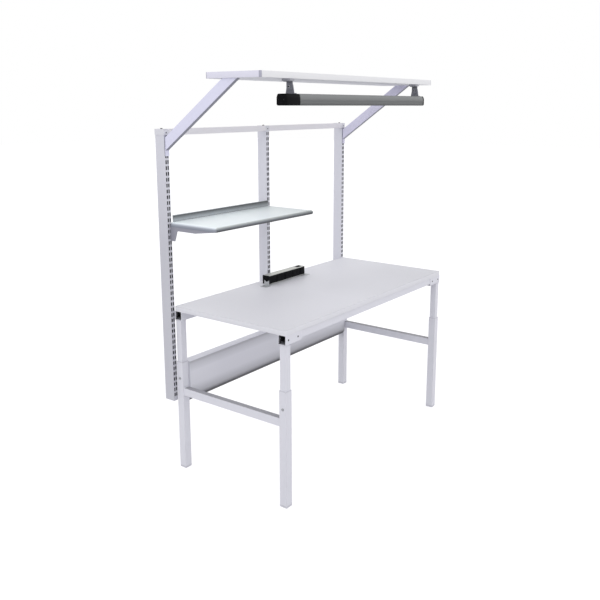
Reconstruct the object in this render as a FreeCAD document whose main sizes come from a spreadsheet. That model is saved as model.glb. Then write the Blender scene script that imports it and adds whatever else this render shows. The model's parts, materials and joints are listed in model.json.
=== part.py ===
import FreeCAD, Part
import math
import operator
import os
import Sketcher
from types import SimpleNamespace

# Driving dimensions of the workbench: millimetres, degrees for angles, plain numbers for counts.
DIMENSIONS = {
    "worktop_length": 1500.0,
    "worktop_depth": 700.0,
    "worktop_thick": 25.0,
    "worktop_height": 860.0,
    "worktop_corner": 8.0,
    # telescopic legs, their foot plugs and guide bushes
    "leg_width": 40.0,
    "leg_wall": 2.0,
    "leg_top": 570.0,
    "leg_inner_width": 33.5,
    "leg_inner_wall": 2.0,
    "leg_inner_bottom": 330.0,
    "slide_gap": 0.25,
    "foot_height": 10.0,
    "foot_plug": 30.0,
    "plug_fit": 0.1,
    "bush_collar": 4.0,
    "bush_sleeve": 60.0,
    "clamp_height": 486.0,
    "clamp_shank_radius": 4.0,
    "clamp_head_radius": 7.0,
    "clamp_head_thick": 5.0,
    "clamp_key_radius": 3.5,
    "clamp_key_depth": 3.0,
    # side crossbars and rear stretcher
    "crossbar_width": 30.0,
    "crossbar_height": 40.0,
    "crossbar_wall": 2.0,
    "crossbar_bottom": 397.0,
    "stretcher_top": 570.0,
    "stretcher_height": 220.0,
    "stretcher_depth": 48.0,
    "stretcher_sheet": 2.0,
    "stretcher_end": 3.0,
    "stretcher_bend": 40.0,
    "stretcher_fold": 5.0,
    "stretcher_lip": 20.0,
    "stretcher_bolt_edge": 45.0,
    "bolt_neck_radius": 3.5,
    "bolt_head_radius": 5.5,
    "bolt_head_thick": 3.5,
    "bolt_fit": 0.1,
    # leg heads and rails under the worktop
    "head_length": 116.0,
    "head_width": 45.0,
    "head_height": 45.0,
    "head_wall": 3.0,
    "head_fold": 4.0,
    "head_bolt_near": 20.0,
    "head_bolt_far": 90.0,
    "head_bolt_drop": 21.0,
    "sunk_neck_radius": 2.5,
    "sunk_head_radius": 4.5,
    "sunk_head_thick": 1.5,
    "rail_height": 34.0,
    "rail_wall": 2.0,
    "rail_end_gap": 5.0,
    # slotted uprights with caps, mounts and top rails
    "upright_width": 26.0,
    "upright_depth": 61.0,
    "upright_wall": 2.0,
    "upright_gap": 10.0,
    "upright_overhang": 5.0,
    "upright_bottom": 362.0,
    "upright_top": 1724.0,
    "slot_width": 4.0,
    "slot_height": 17.0,
    "slot_pitch": 28.0,
    "slot_offset": 6.0,
    "slot_top_margin": 41.0,
    "slot_bottom_margin": 15.0,
    "cap_height": 28.0,
    "cap_roof": 3.0,
    "cap_wall": 1.5,
    "mount_sheet": 3.0,
    "mount_reach": 52.0,
    "mount_tail": 60.0,
    "mount_height": 30.0,
    "mount_drop": 7.0,
    "mount_bolt_reach": 32.0,
    "mount_bolt_tail": 45.0,
    "top_rail_height": 30.0,
    "top_rail_depth": 25.0,
    "top_rail_wall": 2.0,
    # hooks of everything that hangs in the slots
    "hook_sheet": 3.0,
    "hook_neck": 12.0,
    "hook_drop": 7.0,
    "hook_thick": 4.0,
    "hook_play": 0.3,
    # cantilever arms and the upper shelf
    "arm_width": 22.0,
    "arm_depth": 50.0,
    "arm_angle": 35.2,
    "arm_wall": 2.0,
    "arm_plate_thick": 4.0,
    "arm_plate_gap": 1.0,
    "arm_plate_drop": 28.0,
    "arm_foot": 28.0,
    "arm_rise": 325.0,
    "arm_slot": 0.0,
    "arm_slot_step": 2.0,
    "upper_shelf_overhang": 4.0,
    "upper_shelf_depth": 317.0,
    "upper_shelf_thick": 28.0,
    "upper_shelf_corner": 10.0,
    "upper_shelf_lead": 21.5,
    # sheet-steel lower shelf on hook-in brackets
    "shelf_slot": 15.0,
    "shelf_slot_step": 2.0,
    "shelf_rise": 19.0,
    "shelf_depth": 306.0,
    "shelf_rear_gap": 9.0,
    "shelf_sheet": 1.5,
    "shelf_drop": 23.0,
    "shelf_bend": 11.0,
    "shelf_front_return": 12.0,
    "shelf_lip": 33.0,
    "shelf_lip_fold": 9.0,
    "bracket_front_gap": 15.0,
    "bracket_nose": 12.0,
    "bracket_web": 30.0,
    "bracket_taper": 130.0,
    "bracket_leg": 48.0,
    "bracket_leg_foot": 30.0,
    "bracket_leg_drop": 18.0,
    # mains socket strip on the worktop
    "strip_length": 326.0,
    "strip_depth": 46.0,
    "strip_height": 48.0,
    "strip_x": 15.0,
    "strip_rear_gap": 66.0,
    "strip_raise": 8.0,
    "strip_wall": 2.0,
    "strip_groove": 1.5,
    "strip_groove_depth": 0.8,
    "strip_groove_inset": 12.0,
    "strip_cap": 3.0,
    "fascia_thick": 5.0,
    "outlet_count": 4.0,
    "outlet_pitch": 72.0,
    "outlet_radius": 19.0,
    "outlet_recess": 1.5,
    "outlet_pin_radius": 2.0,
    "outlet_pin_offset": 9.5,
    "socket_width": 44.0,
    "socket_depth": 24.0,
    "socket_height": 30.0,
    "strip_foot_reach": 38.0,
    "strip_foot_lead": 13.0,
    "strip_foot_width": 46.0,
    "strip_foot_height": 30.0,
    "strip_foot_sheet": 2.0,
    "strip_foot_notch": 9.0,
    "switch_inset": 34.0,
    "switch_length": 32.0,
    "switch_width": 22.0,
    "switch_rim": 1.5,
    "switch_wall": 1.8,
    "switch_skirt": 9.0,
    "switch_flange": 1.2,
    "switch_pivot_depth": 4.0,
    "rocker_tilt": 8.0,
    "rocker_end_gap": 1.2,
    "rocker_side_gap": 0.5,
    "rocker_crown": 6.5,
    "rocker_dish": 3.5,
    "rocker_belly": 3.5,
    "rocker_pin_radius": 1.5,
    "pivot_fit": 0.05,
    # task light under the upper shelf
    "lamp_length": 1280.0,
    "lamp_x": 30.0,
    "lamp_setback": 19.0,
    "lamp_drop": 65.0,
    "lamp_depth": 60.0,
    "lamp_height": 52.0,
    "lamp_top_width": 48.0,
    "lamp_shoulder": 16.0,
    "lamp_corner": 6.0,
    "lamp_wall": 2.0,
    "lamp_web": 24.0,
    "lamp_lip": 3.0,
    "lamp_driver_length": 100.0,
    "lamp_cap_length": 15.0,
    "diffuser_thick": 2.5,
    "diffuser_fit": 0.2,
    "board_width": 40.0,
    "board_thick": 1.6,
    "hanger_inset": 62.0,
    "hanger_width": 34.0,
    "hanger_sheet": 3.0,
    "hanger_chamfer": 9.0,
    "hanger_flange": 24.0,
    "hanger_pad": 10.0,
    "pivot_rise": 31.0,
    "pivot_radius": 3.0,
    "pivot_knob_radius": 8.0,
    "pivot_knob_length": 10.0,
    "pivot_nut_radius": 5.5,
    "pivot_nut_thick": 5.0,
    "clip_flange": 18.0,
    "swing_gap": 0.3,
}

OPERATIONS = {"+": operator.add, "-": operator.sub, "*": operator.mul, "/": operator.truediv}
PLANES = {"X": "YZ_Plane", "Y": "XZ_Plane", "Z": "XY_Plane"}
NORMALS = {"X": 1, "Y": -1, "Z": 1}
DIRECTIONS = {
    "X": FreeCAD.Vector(1, 0, 0),
    "Y": FreeCAD.Vector(0, 1, 0),
    "Z": FreeCAD.Vector(0, 0, 1),
}
SIDES = {"left": -1, "right": 1}
ENDS = {"front": -1, "rear": 1}
TOLERANCE = 1e-4
FULL_TURN = 360
# Flats round the small fasteners: square necks, hexagon nuts, and heads and threads that are nearly round.
NECK = 4
NUT = 6
THREAD = 8
HEAD = 12

doc = FreeCAD.newDocument("workbench")
sheet = doc.addObject("Spreadsheet::Sheet", "dims")
for row, (alias, number) in enumerate(DIMENSIONS.items(), start=1):
    sheet.set(f"A{row}", alias)
    sheet.set(f"B{row}", str(number))
    sheet.setAlias(f"B{row}", alias)
doc.recompute()

nodes = []


class Size:
    # A length written in the sheet's names, with the number that it stands for.
    def __init__(self, text, value):
        self.text = text
        self.value = value

    def __add__(self, other):
        return joined(self, "+", other)

    def __radd__(self, other):
        return joined(other, "+", self)

    def __sub__(self, other):
        return joined(self, "-", other)

    def __rsub__(self, other):
        return joined(other, "-", self)

    def __mul__(self, other):
        return joined(self, "*", other)

    def __rmul__(self, other):
        return joined(other, "*", self)

    def __truediv__(self, other):
        return joined(self, "/", other)

    def __neg__(self):
        return joined(0, "-", self)


def sized(item):
    return item if isinstance(item, Size) else Size(str(float(item)), float(item))


def joined(left, sign, right):
    first = sized(left)
    second = sized(right)
    value = OPERATIONS[sign](first.value, second.value)
    return Size(f"({first.text} {sign} {second.text})", value)


def sine(angle):
    return Size(f"sin({angle.text})", math.sin(math.radians(angle.value)))


def cosine(angle):
    return Size(f"cos({angle.text})", math.cos(math.radians(angle.value)))


def bind(item, name, size):
    item.setExpression(name, sized(size).text)


def rectangle(low, high):
    return [(low[0], low[1]), (high[0], low[1]), (high[0], high[1]), (low[0], high[1])]


def centred(middle, width, depth):
    low = (middle[0] - width / 2, middle[1] - depth / 2)
    high = (middle[0] + width / 2, middle[1] + depth / 2)
    return rectangle(low, high)


def ring(middle, radius, flats):
    # Corners of a regular polygon round its middle.
    turns = [sized(FULL_TURN * number / flats) for number in range(flats)]
    return [(middle[0] + radius * cosine(turn), middle[1] + radius * sine(turn)) for turn in turns]


def start_of(side, face, thick):
    # Lower coordinate of a layer whose outer face lies at side * face.
    return face - thick if side > 0 else -face


d = SimpleNamespace(**{name: Size(f"dims.{name}", value) for name, value in DIMENSIONS.items()})

# Places that several pieces share, from the floor under the middle of the worktop.
half_length = d.worktop_length / 2
half_depth = d.worktop_depth / 2
worktop_under = d.worktop_height - d.worktop_thick
leg_x = half_length - d.leg_width / 2
leg_y = half_depth - d.leg_width / 2
leg_bore = d.leg_width - d.leg_wall * 2
leg_inside = half_length - d.leg_width
head_bottom = worktop_under - d.head_height
head_bolt_z = worktop_under - d.head_bolt_drop
rail_face = half_depth - d.head_wall
upright_front = half_depth + d.upright_gap
upright_rear = upright_front + d.upright_depth
upright_x = half_length + d.upright_overhang
upright_half = d.upright_width / 2
cap_top = d.upright_top + d.cap_roof
cap_half = upright_half + d.plug_fit + d.cap_wall
mount_z = worktop_under - d.mount_drop - d.mount_height / 2
bolt_hole = d.bolt_neck_radius + d.bolt_fit
sunk_hole = d.sunk_neck_radius + d.bolt_fit
bolt_head = (d.bolt_head_radius, d.bolt_head_thick, NUT)
# The origin is under the middle of the whole bench, from the worktop's front to the caps' rear.
frame_shift = (half_depth - upright_rear - d.plug_fit - d.cap_wall) / 2


def slot_z(count):
    return d.upright_top - d.slot_top_margin - d.slot_pitch * count


def origin_feature(owner, role):
    return next(item for item in owner.Origin.OriginFeatures if item.Role == role)


def new_body(label):
    owner = doc.addObject("PartDesign::Body", label)
    owner.Label = label
    bind(owner, "Placement.Base.y", frame_shift)
    return owner


def new_sketch(owner, axis, offset):
    sketch = owner.newObject("Sketcher::SketchObject", "Sketch")
    sketch.AttachmentSupport = [(origin_feature(owner, PLANES[axis]), "")]
    sketch.MapMode = "FlatFace"
    bind(sketch, "AttachmentOffset.Base.z", sized(offset) * NORMALS[axis])
    return sketch


def fix_point(sketch, geometry, position, point):
    # Ties one point of a sketch to its two lengths from the origin.
    for kind, letter, length in (("DistanceX", "x", point[0]), ("DistanceY", "y", point[1])):
        size = sized(length)
        number = sketch.addConstraint(Sketcher.Constraint(kind, -1, 1, geometry, position, size.value))
        name = f"{letter}{geometry}"
        sketch.renameConstraint(number, name)
        bind(sketch, f"Constraints.{name}", size)


def draw_outline(sketch, points):
    first = sketch.GeometryCount
    corners = [FreeCAD.Vector(sized(u).value, sized(v).value, 0) for u, v in points]
    count = len(corners)
    for index in range(count):
        sketch.addGeometry(Part.LineSegment(corners[index], corners[(index + 1) % count]), False)
    for index in range(count):
        following = first + (index + 1) % count
        sketch.addConstraint(Sketcher.Constraint("Coincident", first + index, 2, following, 1))
    for index, point in enumerate(points):
        fix_point(sketch, first + index, 1, point)


def draw_circle(sketch, middle, radius):
    size = sized(radius)
    centre = FreeCAD.Vector(sized(middle[0]).value, sized(middle[1]).value, 0)
    geometry = sketch.addGeometry(Part.Circle(centre, FreeCAD.Vector(0, 0, 1), size.value), False)
    fix_point(sketch, geometry, 3, middle)
    number = sketch.addConstraint(Sketcher.Constraint("Radius", geometry, size.value))
    sketch.renameConstraint(number, f"radius{geometry}")
    bind(sketch, f"Constraints.radius{geometry}", size)


def pad(owner, axis, outlines, start, length):
    # Adds material from the start towards the axis's positive side.
    sketch = new_sketch(owner, axis, start)
    for outline in outlines:
        draw_outline(sketch, outline)
    feature = owner.newObject("PartDesign::Pad", "Pad")
    feature.Profile = sketch
    feature.Reversed = axis == "Y"
    bind(feature, "Length", length)
    return feature


def pad_disc(owner, axis, middle, radius, start, length):
    sketch = new_sketch(owner, axis, start)
    draw_circle(sketch, middle, radius)
    feature = owner.newObject("PartDesign::Pad", "Pad")
    feature.Profile = sketch
    feature.Reversed = axis == "Y"
    bind(feature, "Length", length)
    return feature


def cut_from(owner, axis, sketch, depth):
    doc.recompute()
    before = owner.Shape.Volume
    feature = owner.newObject("PartDesign::Pocket", "Pocket")
    feature.Profile = sketch
    feature.Reversed = axis != "Y"
    bind(feature, "Length", depth)
    doc.recompute()
    if owner.Shape.Volume > before - TOLERANCE:
        raise RuntimeError(f"a cut in {owner.Label} removed nothing")
    return feature


def pocket(owner, axis, outlines, start, depth):
    # Removes material from the start towards the axis's positive side.
    sketch = new_sketch(owner, axis, start)
    for outline in outlines:
        draw_outline(sketch, outline)
    return cut_from(owner, axis, sketch, depth)


def drill(owner, axis, middles, radius, start, depth):
    sketch = new_sketch(owner, axis, start)
    for middle in middles:
        draw_circle(sketch, middle, radius)
    return cut_from(owner, axis, sketch, depth)


def punch(owner, axis, middles, radius, flats, start, depth):
    # Holes with flats, for the necks and heads of the fasteners.
    return pocket(owner, axis, [ring(middle, radius, flats) for middle in middles], start, depth)


def repeat(owner, feature, role, spacing, count):
    pattern = owner.newObject("PartDesign::LinearPattern", "Pattern")
    pattern.Originals = [feature]
    pattern.Direction = (origin_feature(owner, role), [""])
    bind(pattern, "Length", spacing * (count - 1))
    pattern.Occurrences = round(count.value)
    owner.Tip = pattern
    return pattern


def across(axis, point):
    # The two coordinates of a point that a sketch on this axis shows.
    return {"X": (point.y, point.z), "Y": (point.x, point.z), "Z": (point.x, point.y)}[axis]


def edges_through(shape, axis, corners):
    # Names of the straight edges along the axis that stand on one of the corners.
    names = []
    for number, edge in enumerate(shape.Edges, start=1):
        if len(edge.Vertexes) != 2:
            continue
        low = edge.Vertexes[0].Point
        high = edge.Vertexes[1].Point
        run = (high - low).normalize()
        if run.cross(DIRECTIONS[axis]).Length > TOLERANCE:
            continue
        u, v = across(axis, low)
        if any(abs(u - cu) < TOLERANCE and abs(v - cv) < TOLERANCE for cu, cv in corners):
            names.append(f"Edge{number}")
    return names


def round_corners(owner, axis, corners, radius):
    doc.recompute()
    base = owner.Tip
    spots = [(sized(u).value, sized(v).value) for u, v in corners]
    names = edges_through(base.Shape, axis, spots)
    if not names:
        raise RuntimeError(f"no edge to round in {owner.Label}")
    feature = owner.newObject("PartDesign::Fillet", "Fillet")
    feature.Base = (base, names)
    bind(feature, "Radius", radius)
    return feature


def prism(label, axis, outlines, start, length):
    owner = new_body(label)
    pad(owner, axis, outlines, start, length)
    return owner


def place(item, direction, at):
    item.Placement = FreeCAD.Placement(
        FreeCAD.Vector(0, 0, 0), FreeCAD.Rotation(FreeCAD.Vector(0, 0, 1), FreeCAD.Vector(*direction))
    )
    bind(item, "Placement.Base.x", at[0])
    bind(item, "Placement.Base.y", at[1] + frame_shift)
    bind(item, "Placement.Base.z", at[2])
    return item


def cylinder(direction, at, radius, length):
    item = doc.addObject("Part::Cylinder", "Cylinder")
    bind(item, "Radius", radius)
    bind(item, "Height", length)
    return place(item, direction, at)


def polygon(direction, at, radius, length, flats):
    item = doc.addObject("Part::Prism", "Polygon")
    item.Polygon = flats
    bind(item, "Circumradius", radius)
    bind(item, "Height", length)
    return place(item, direction, at)


def fused(*items):
    item = doc.addObject("Part::MultiFuse", "Fused")
    item.Shapes = list(items)
    return item


def shared(*items):
    item = doc.addObject("Part::MultiCommon", "Shared")
    item.Shapes = list(items)
    return item


def cut_out(base, tool):
    item = doc.addObject("Part::Cut", "Cut")
    item.Base = base
    item.Tool = tool
    return item


def bolt(outward, at, head, neck):
    # A head that stands out from a face and a neck that goes in, each given as radius, length and flats.
    inward = tuple(-step for step in outward)
    return fused(polygon(outward, at, *head), polygon(inward, at, *neck))


def node(item, label):
    item.Label = label
    nodes.append(item)
    return item


def group(label, items):
    item = doc.addObject("Part::Compound", label)
    item.Links = items
    return node(item, label)


def corners_of_bench():
    return [(end, side) for end in ENDS for side in SIDES]


# Telescopic legs

def clamp_place(side, end):
    return (half_length * side, leg_y * end, d.clamp_height)


def stretcher_bolt_heights():
    low = d.stretcher_top - d.stretcher_height + d.stretcher_bolt_edge * 2
    return [low, d.stretcher_top - d.stretcher_bolt_edge]


def make_leg(end, side):
    middle = (leg_x * SIDES[side], leg_y * ENDS[end])
    outer = centred(middle, d.leg_width, d.leg_width)
    bore = centred(middle, leg_bore, leg_bore)
    leg = prism(f"leg_tube_{end}_{side}", "Z", [outer, bore], d.foot_height, d.leg_top - d.foot_height)
    wall = start_of(SIDES[side], half_length, d.leg_wall)
    hole = d.clamp_shank_radius + d.bolt_fit
    punch(leg, "X", [(middle[1], d.clamp_height)], hole, THREAD, wall, d.leg_wall)
    if end == "rear":
        inner_wall = start_of(-SIDES[side], -leg_inside, d.leg_wall)
        spots = [(middle[1], height) for height in stretcher_bolt_heights()]
        punch(leg, "X", spots, bolt_hole, NECK, inner_wall, d.leg_wall)
    node(leg, leg.Label)


def make_foot(end, side):
    middle = (leg_x * SIDES[side], leg_y * ENDS[end])
    stub = leg_bore - d.plug_fit * 2
    foot = prism(f"foot_{end}_{side}", "Z", [centred(middle, d.leg_width, d.leg_width)], 0, d.foot_height)
    pad(foot, "Z", [centred(middle, stub, stub)], d.foot_height, d.foot_plug)
    node(foot, foot.Label)


def make_bush(end, side):
    middle = (leg_x * SIDES[side], leg_y * ENDS[end])
    slide = d.leg_inner_width + d.slide_gap * 2
    sleeve = leg_bore - d.plug_fit * 2
    opening = centred(middle, slide, slide)
    collar = [centred(middle, d.leg_width, d.leg_width), opening]
    bush = prism("bush", "Z", collar, d.leg_top, d.bush_collar)
    pad(bush, "Z", [centred(middle, sleeve, sleeve), opening], d.leg_top - d.bush_sleeve, d.bush_sleeve)
    return bush


def make_clamp_screw(end, side):
    outward = (SIDES[side], 0, 0)
    inward = (-SIDES[side], 0, 0)
    at = clamp_place(SIDES[side], ENDS[end])
    reach = d.leg_wall + (leg_bore - d.leg_inner_width) / 2 - d.slide_gap
    head = (d.clamp_head_radius, d.clamp_head_thick, HEAD)
    body = bolt(outward, at, head, (d.clamp_shank_radius, reach, THREAD))
    rim = (at[0] + d.clamp_head_thick * SIDES[side], at[1], at[2])
    return cut_out(body, polygon(inward, rim, d.clamp_key_radius, d.clamp_key_depth, NUT))


def make_inner_leg(end, side):
    middle = (leg_x * SIDES[side], leg_y * ENDS[end])
    outer = centred(middle, d.leg_inner_width, d.leg_inner_width)
    hollow = d.leg_inner_width - d.leg_inner_wall * 2
    rise = head_bottom - d.leg_inner_bottom
    inner = centred(middle, hollow, hollow)
    leg = prism(f"inner_leg_{end}_{side}", "Z", [outer, inner], d.leg_inner_bottom, rise)
    node(leg, leg.Label)


for end, side in corners_of_bench():
    make_leg(end, side)
    make_foot(end, side)
    make_inner_leg(end, side)
group("leg_guide_bushes", [make_bush(end, side) for end, side in corners_of_bench()])
group("leg_clamp_screws", [make_clamp_screw(end, side) for end, side in corners_of_bench()])


# Side crossbars and the rear stretcher with its cable trough

def make_crossbar(side):
    middle = (leg_x * SIDES[side], d.crossbar_bottom + d.crossbar_height / 2)
    outer = centred(middle, d.crossbar_width, d.crossbar_height)
    wall = d.crossbar_wall * 2
    inner = centred(middle, d.crossbar_width - wall, d.crossbar_height - wall)
    span = half_depth - d.leg_width
    bar = prism(f"crossbar_{side}", "Y", [outer, inner], -span, span * 2)
    node(bar, bar.Label)


stretcher_rear = half_depth
stretcher_front = stretcher_rear - d.stretcher_depth
stretcher_bottom = d.stretcher_top - d.stretcher_height
stretcher_reach = leg_inside - d.stretcher_end
stretcher_outline = rectangle((stretcher_front, stretcher_bottom), (stretcher_rear, d.stretcher_top))


def make_stretcher():
    # A sheet folded round the cables: roof, front, a wide bend, floor and a low lip at the rear.
    sheet_in = stretcher_front + d.stretcher_sheet
    floor = stretcher_bottom + d.stretcher_sheet
    roof = d.stretcher_top - d.stretcher_sheet
    lip_top = stretcher_bottom + d.stretcher_lip
    lip_in = stretcher_rear - d.stretcher_sheet
    length = stretcher_reach * 2
    stretcher = prism("rear_stretcher", "X", [stretcher_outline], -stretcher_reach, length)
    hollow = [
        (sheet_in, roof), (sheet_in, floor), (lip_in, floor),
        (lip_in, lip_top), (stretcher_rear, lip_top), (stretcher_rear, roof),
    ]
    pocket(stretcher, "X", [hollow], -stretcher_reach, length)
    inner_fold = d.stretcher_fold - d.stretcher_sheet
    round_corners(stretcher, "X", [(sheet_in, floor)], d.stretcher_bend - d.stretcher_sheet)
    round_corners(stretcher, "X", [(sheet_in, roof), (lip_in, floor)], inner_fold)
    round_corners(stretcher, "X", [stretcher_outline[0]], d.stretcher_bend)
    round_corners(stretcher, "X", [stretcher_outline[1], stretcher_outline[3]], d.stretcher_fold)
    node(stretcher, stretcher.Label)


def make_stretcher_plate(sign):
    start = start_of(sign, leg_inside, d.stretcher_end)
    plate = prism("stretcher_plate", "X", [stretcher_outline], start, d.stretcher_end)
    round_corners(plate, "X", [stretcher_outline[0]], d.stretcher_bend)
    spots = [(leg_y, height) for height in stretcher_bolt_heights()]
    punch(plate, "X", spots, bolt_hole, NECK, start, d.stretcher_end)
    return plate


def make_stretcher_bolts():
    neck = (d.bolt_neck_radius, d.stretcher_end + d.leg_wall, NECK)
    return [
        bolt((-sign, 0, 0), (stretcher_reach * sign, leg_y, height), bolt_head, neck)
        for sign in SIDES.values() for height in stretcher_bolt_heights()
    ]


for side in SIDES:
    make_crossbar(side)
make_stretcher()
group("stretcher_end_plates", [make_stretcher_plate(sign) for sign in SIDES.values()])
group("stretcher_bolts", make_stretcher_bolts())


# Leg heads, rails and the worktop

def head_bolt_places():
    return [half_length - d.head_bolt_near, half_length - d.head_bolt_far]


def mount_places():
    # Side face of each upright that carries a mount, the way the mount reaches, and its seat.
    return [
        (-upright_x + upright_half, 1, half_depth),
        (upright_half, 1, rail_face),
        (upright_x - upright_half, -1, half_depth),
    ]


def make_head(end, side):
    sign = ENDS[end]
    low = start_of(sign, half_depth, d.head_width)
    high = low + d.head_width
    inner_low = low + d.head_wall
    inner_high = high - d.head_wall
    floor = head_bottom + d.head_wall
    profile = [
        (low, worktop_under), (low, head_bottom), (high, head_bottom), (high, worktop_under),
        (inner_high, worktop_under), (inner_high, floor), (inner_low, floor), (inner_low, worktop_under),
    ]
    start = start_of(SIDES[side], half_length, d.head_length)
    head = prism(f"leg_head_{end}_{side}", "X", [profile], start, d.head_length)
    round_corners(head, "X", [(low, head_bottom), (high, head_bottom)], d.head_fold)
    wall = start_of(sign, half_depth, d.head_wall)
    spots = [(x * SIDES[side], head_bolt_z) for x in head_bolt_places()]
    punch(head, "Y", spots, sunk_hole, NECK, wall, d.head_wall)
    recess = start_of(sign, half_depth, d.sunk_head_thick)
    punch(head, "Y", spots, d.sunk_head_radius + d.bolt_fit, THREAD, recess, d.sunk_head_thick)
    if end == "rear":
        face, way, _ = mount_places()[0 if side == "left" else 2]
        spot = (face + d.mount_bolt_reach * way, mount_z)
        punch(head, "Y", [spot], bolt_hole, NECK, wall, d.head_wall)
    node(head, head.Label)


def make_rail(end):
    sign = ENDS[end]
    width = d.head_width - d.head_wall * 2
    low = start_of(sign, rail_face, width)
    bottom = worktop_under - d.rail_height
    outer = rectangle((low, bottom), (low + width, worktop_under))
    inner_low = (low + d.rail_wall, bottom + d.rail_wall)
    inner = rectangle(inner_low, (low + width - d.rail_wall, worktop_under - d.rail_wall))
    reach = half_length - d.rail_end_gap
    rail = prism(f"{end}_rail", "X", [outer, inner], -reach, reach * 2)
    wall = start_of(sign, rail_face, d.rail_wall)
    spots = [(x * side, head_bolt_z) for x in head_bolt_places() for side in SIDES.values()]
    punch(rail, "Y", spots, sunk_hole, NECK, wall, d.rail_wall)
    if end == "rear":
        face, way, _ = mount_places()[1]
        spot = (face + d.mount_bolt_reach * way, mount_z)
        punch(rail, "Y", [spot], bolt_hole, NECK, wall, d.rail_wall)
    node(rail, rail.Label)


def make_head_bolts():
    # Heads sunk flush in the outer wall, necks through to the rail.
    items = []
    seat = half_depth - d.sunk_head_thick
    head = (d.sunk_head_radius, d.sunk_head_thick, THREAD)
    neck = (d.sunk_neck_radius, d.head_wall + d.rail_wall - d.sunk_head_thick, NECK)
    for end, side in corners_of_bench():
        sign = ENDS[end]
        for x in head_bolt_places():
            items.append(bolt((0, sign, 0), (x * SIDES[side], seat * sign, head_bolt_z), head, neck))
    return items


def make_board(label, middle_y, length, depth, corner, bottom, thick):
    outline = centred((sized(0), middle_y), length, depth)
    board = prism(label, "Z", [outline], bottom, thick)
    round_corners(board, "Z", outline, corner)
    return node(board, label)


for end, side in corners_of_bench():
    make_head(end, side)
for end in ENDS:
    make_rail(end)
group("leg_head_bolts", make_head_bolts())
make_board(
    "worktop", sized(0), d.worktop_length, d.worktop_depth, d.worktop_corner, worktop_under, d.worktop_thick
)


# Slotted uprights, their caps, mounts and top rails

UPRIGHTS = {"left": -upright_x, "middle": sized(0), "right": upright_x}


def slot_count():
    first = d.upright_bottom + d.slot_bottom_margin
    room = slot_z(0).value - first.value
    return sized(math.floor(room / d.slot_pitch.value) + 1)


def make_upright(name, x):
    middle_y = upright_front + d.upright_depth / 2
    outer = centred((x, middle_y), d.upright_width, d.upright_depth)
    wall = d.upright_wall * 2
    inner = centred((x, middle_y), d.upright_width - wall, d.upright_depth - wall)
    height = d.upright_top - d.upright_bottom
    upright = prism(f"upright_{name}", "Z", [outer, inner], d.upright_bottom, height)
    count = slot_count()
    lowest = slot_z(count - 1)
    slots = [centred((x + d.slot_offset * sign, lowest), d.slot_width, d.slot_height) for sign in (-1, 1)]
    cut = pocket(upright, "Y", slots, upright_front, d.upright_wall)
    repeat(upright, cut, "Z_Axis", d.slot_pitch, count)
    face, way, _ = mount_places()[list(UPRIGHTS).index(name)]
    side_wall = face - d.upright_wall if way > 0 else face
    side_spot = (upright_front + d.mount_bolt_tail, mount_z)
    punch(upright, "X", [side_spot], bolt_hole, NECK, side_wall, d.upright_wall)
    node(upright, upright.Label)


def make_cap(x):
    middle = (x, upright_front + d.upright_depth / 2)
    skin = (d.plug_fit + d.cap_wall) * 2
    outline = centred(middle, d.upright_width + skin, d.upright_depth + skin)
    cap = prism("cap", "Z", [outline], cap_top - d.cap_height, d.cap_height)
    fit = d.plug_fit * 2
    plug = d.upright_wall * 2 + fit
    groove = [
        centred(middle, d.upright_width + fit, d.upright_depth + fit),
        centred(middle, d.upright_width - plug, d.upright_depth - plug),
    ]
    pocket(cap, "Z", groove, cap_top - d.cap_height, d.cap_height - d.cap_roof)
    punch(cap, "Z", [middle], bolt_hole, NECK, cap_top - d.cap_height, d.cap_height)
    return cap


def make_cap_bolt(x):
    at = (x, upright_front + d.upright_depth / 2, cap_top)
    return bolt((0, 0, 1), at, bolt_head, (d.bolt_neck_radius, d.cap_height - d.cap_roof, NECK))


def make_mount(face, way, seat):
    # A folded angle: one leg lies on the frame, the other on the upright's side.
    sheet_in = d.mount_sheet * way
    profile = [
        (face, seat), (face + d.mount_reach * way, seat),
        (face + d.mount_reach * way, seat + d.mount_sheet), (face + sheet_in, seat + d.mount_sheet),
        (face + sheet_in, seat + d.mount_tail), (face, seat + d.mount_tail),
    ]
    mount = prism("mount", "Z", [profile], mount_z - d.mount_height / 2, d.mount_height)
    frame_spot = (face + d.mount_bolt_reach * way, mount_z)
    punch(mount, "Y", [frame_spot], bolt_hole, NECK, seat, d.mount_sheet)
    side_start = face if way > 0 else face - d.mount_sheet
    side_spot = (upright_front + d.mount_bolt_tail, mount_z)
    punch(mount, "X", [side_spot], bolt_hole, NECK, side_start, d.mount_sheet)
    return mount


def make_mount_bolts(face, way, seat, wall):
    frame_at = (face + d.mount_bolt_reach * way, seat + d.mount_sheet, mount_z)
    side_at = (face + d.mount_sheet * way, upright_front + d.mount_bolt_tail, mount_z)
    frame_neck = (d.bolt_neck_radius, d.mount_sheet + wall, NECK)
    side_neck = (d.bolt_neck_radius, d.mount_sheet + d.upright_wall, NECK)
    return [
        bolt((0, 1, 0), frame_at, bolt_head, frame_neck),
        bolt((way, 0, 0), side_at, bolt_head, side_neck),
    ]


def make_top_rail(name, low, high):
    bottom = cap_top - d.top_rail_height
    outer = rectangle((upright_front, bottom), (upright_front + d.top_rail_depth, cap_top))
    wall = d.top_rail_wall
    inner = rectangle(
        (upright_front + wall, bottom + wall), (upright_front + d.top_rail_depth - wall, cap_top - wall)
    )
    rail = prism(f"top_rail_{name}", "X", [outer, inner], low, high - low)
    node(rail, rail.Label)


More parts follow.
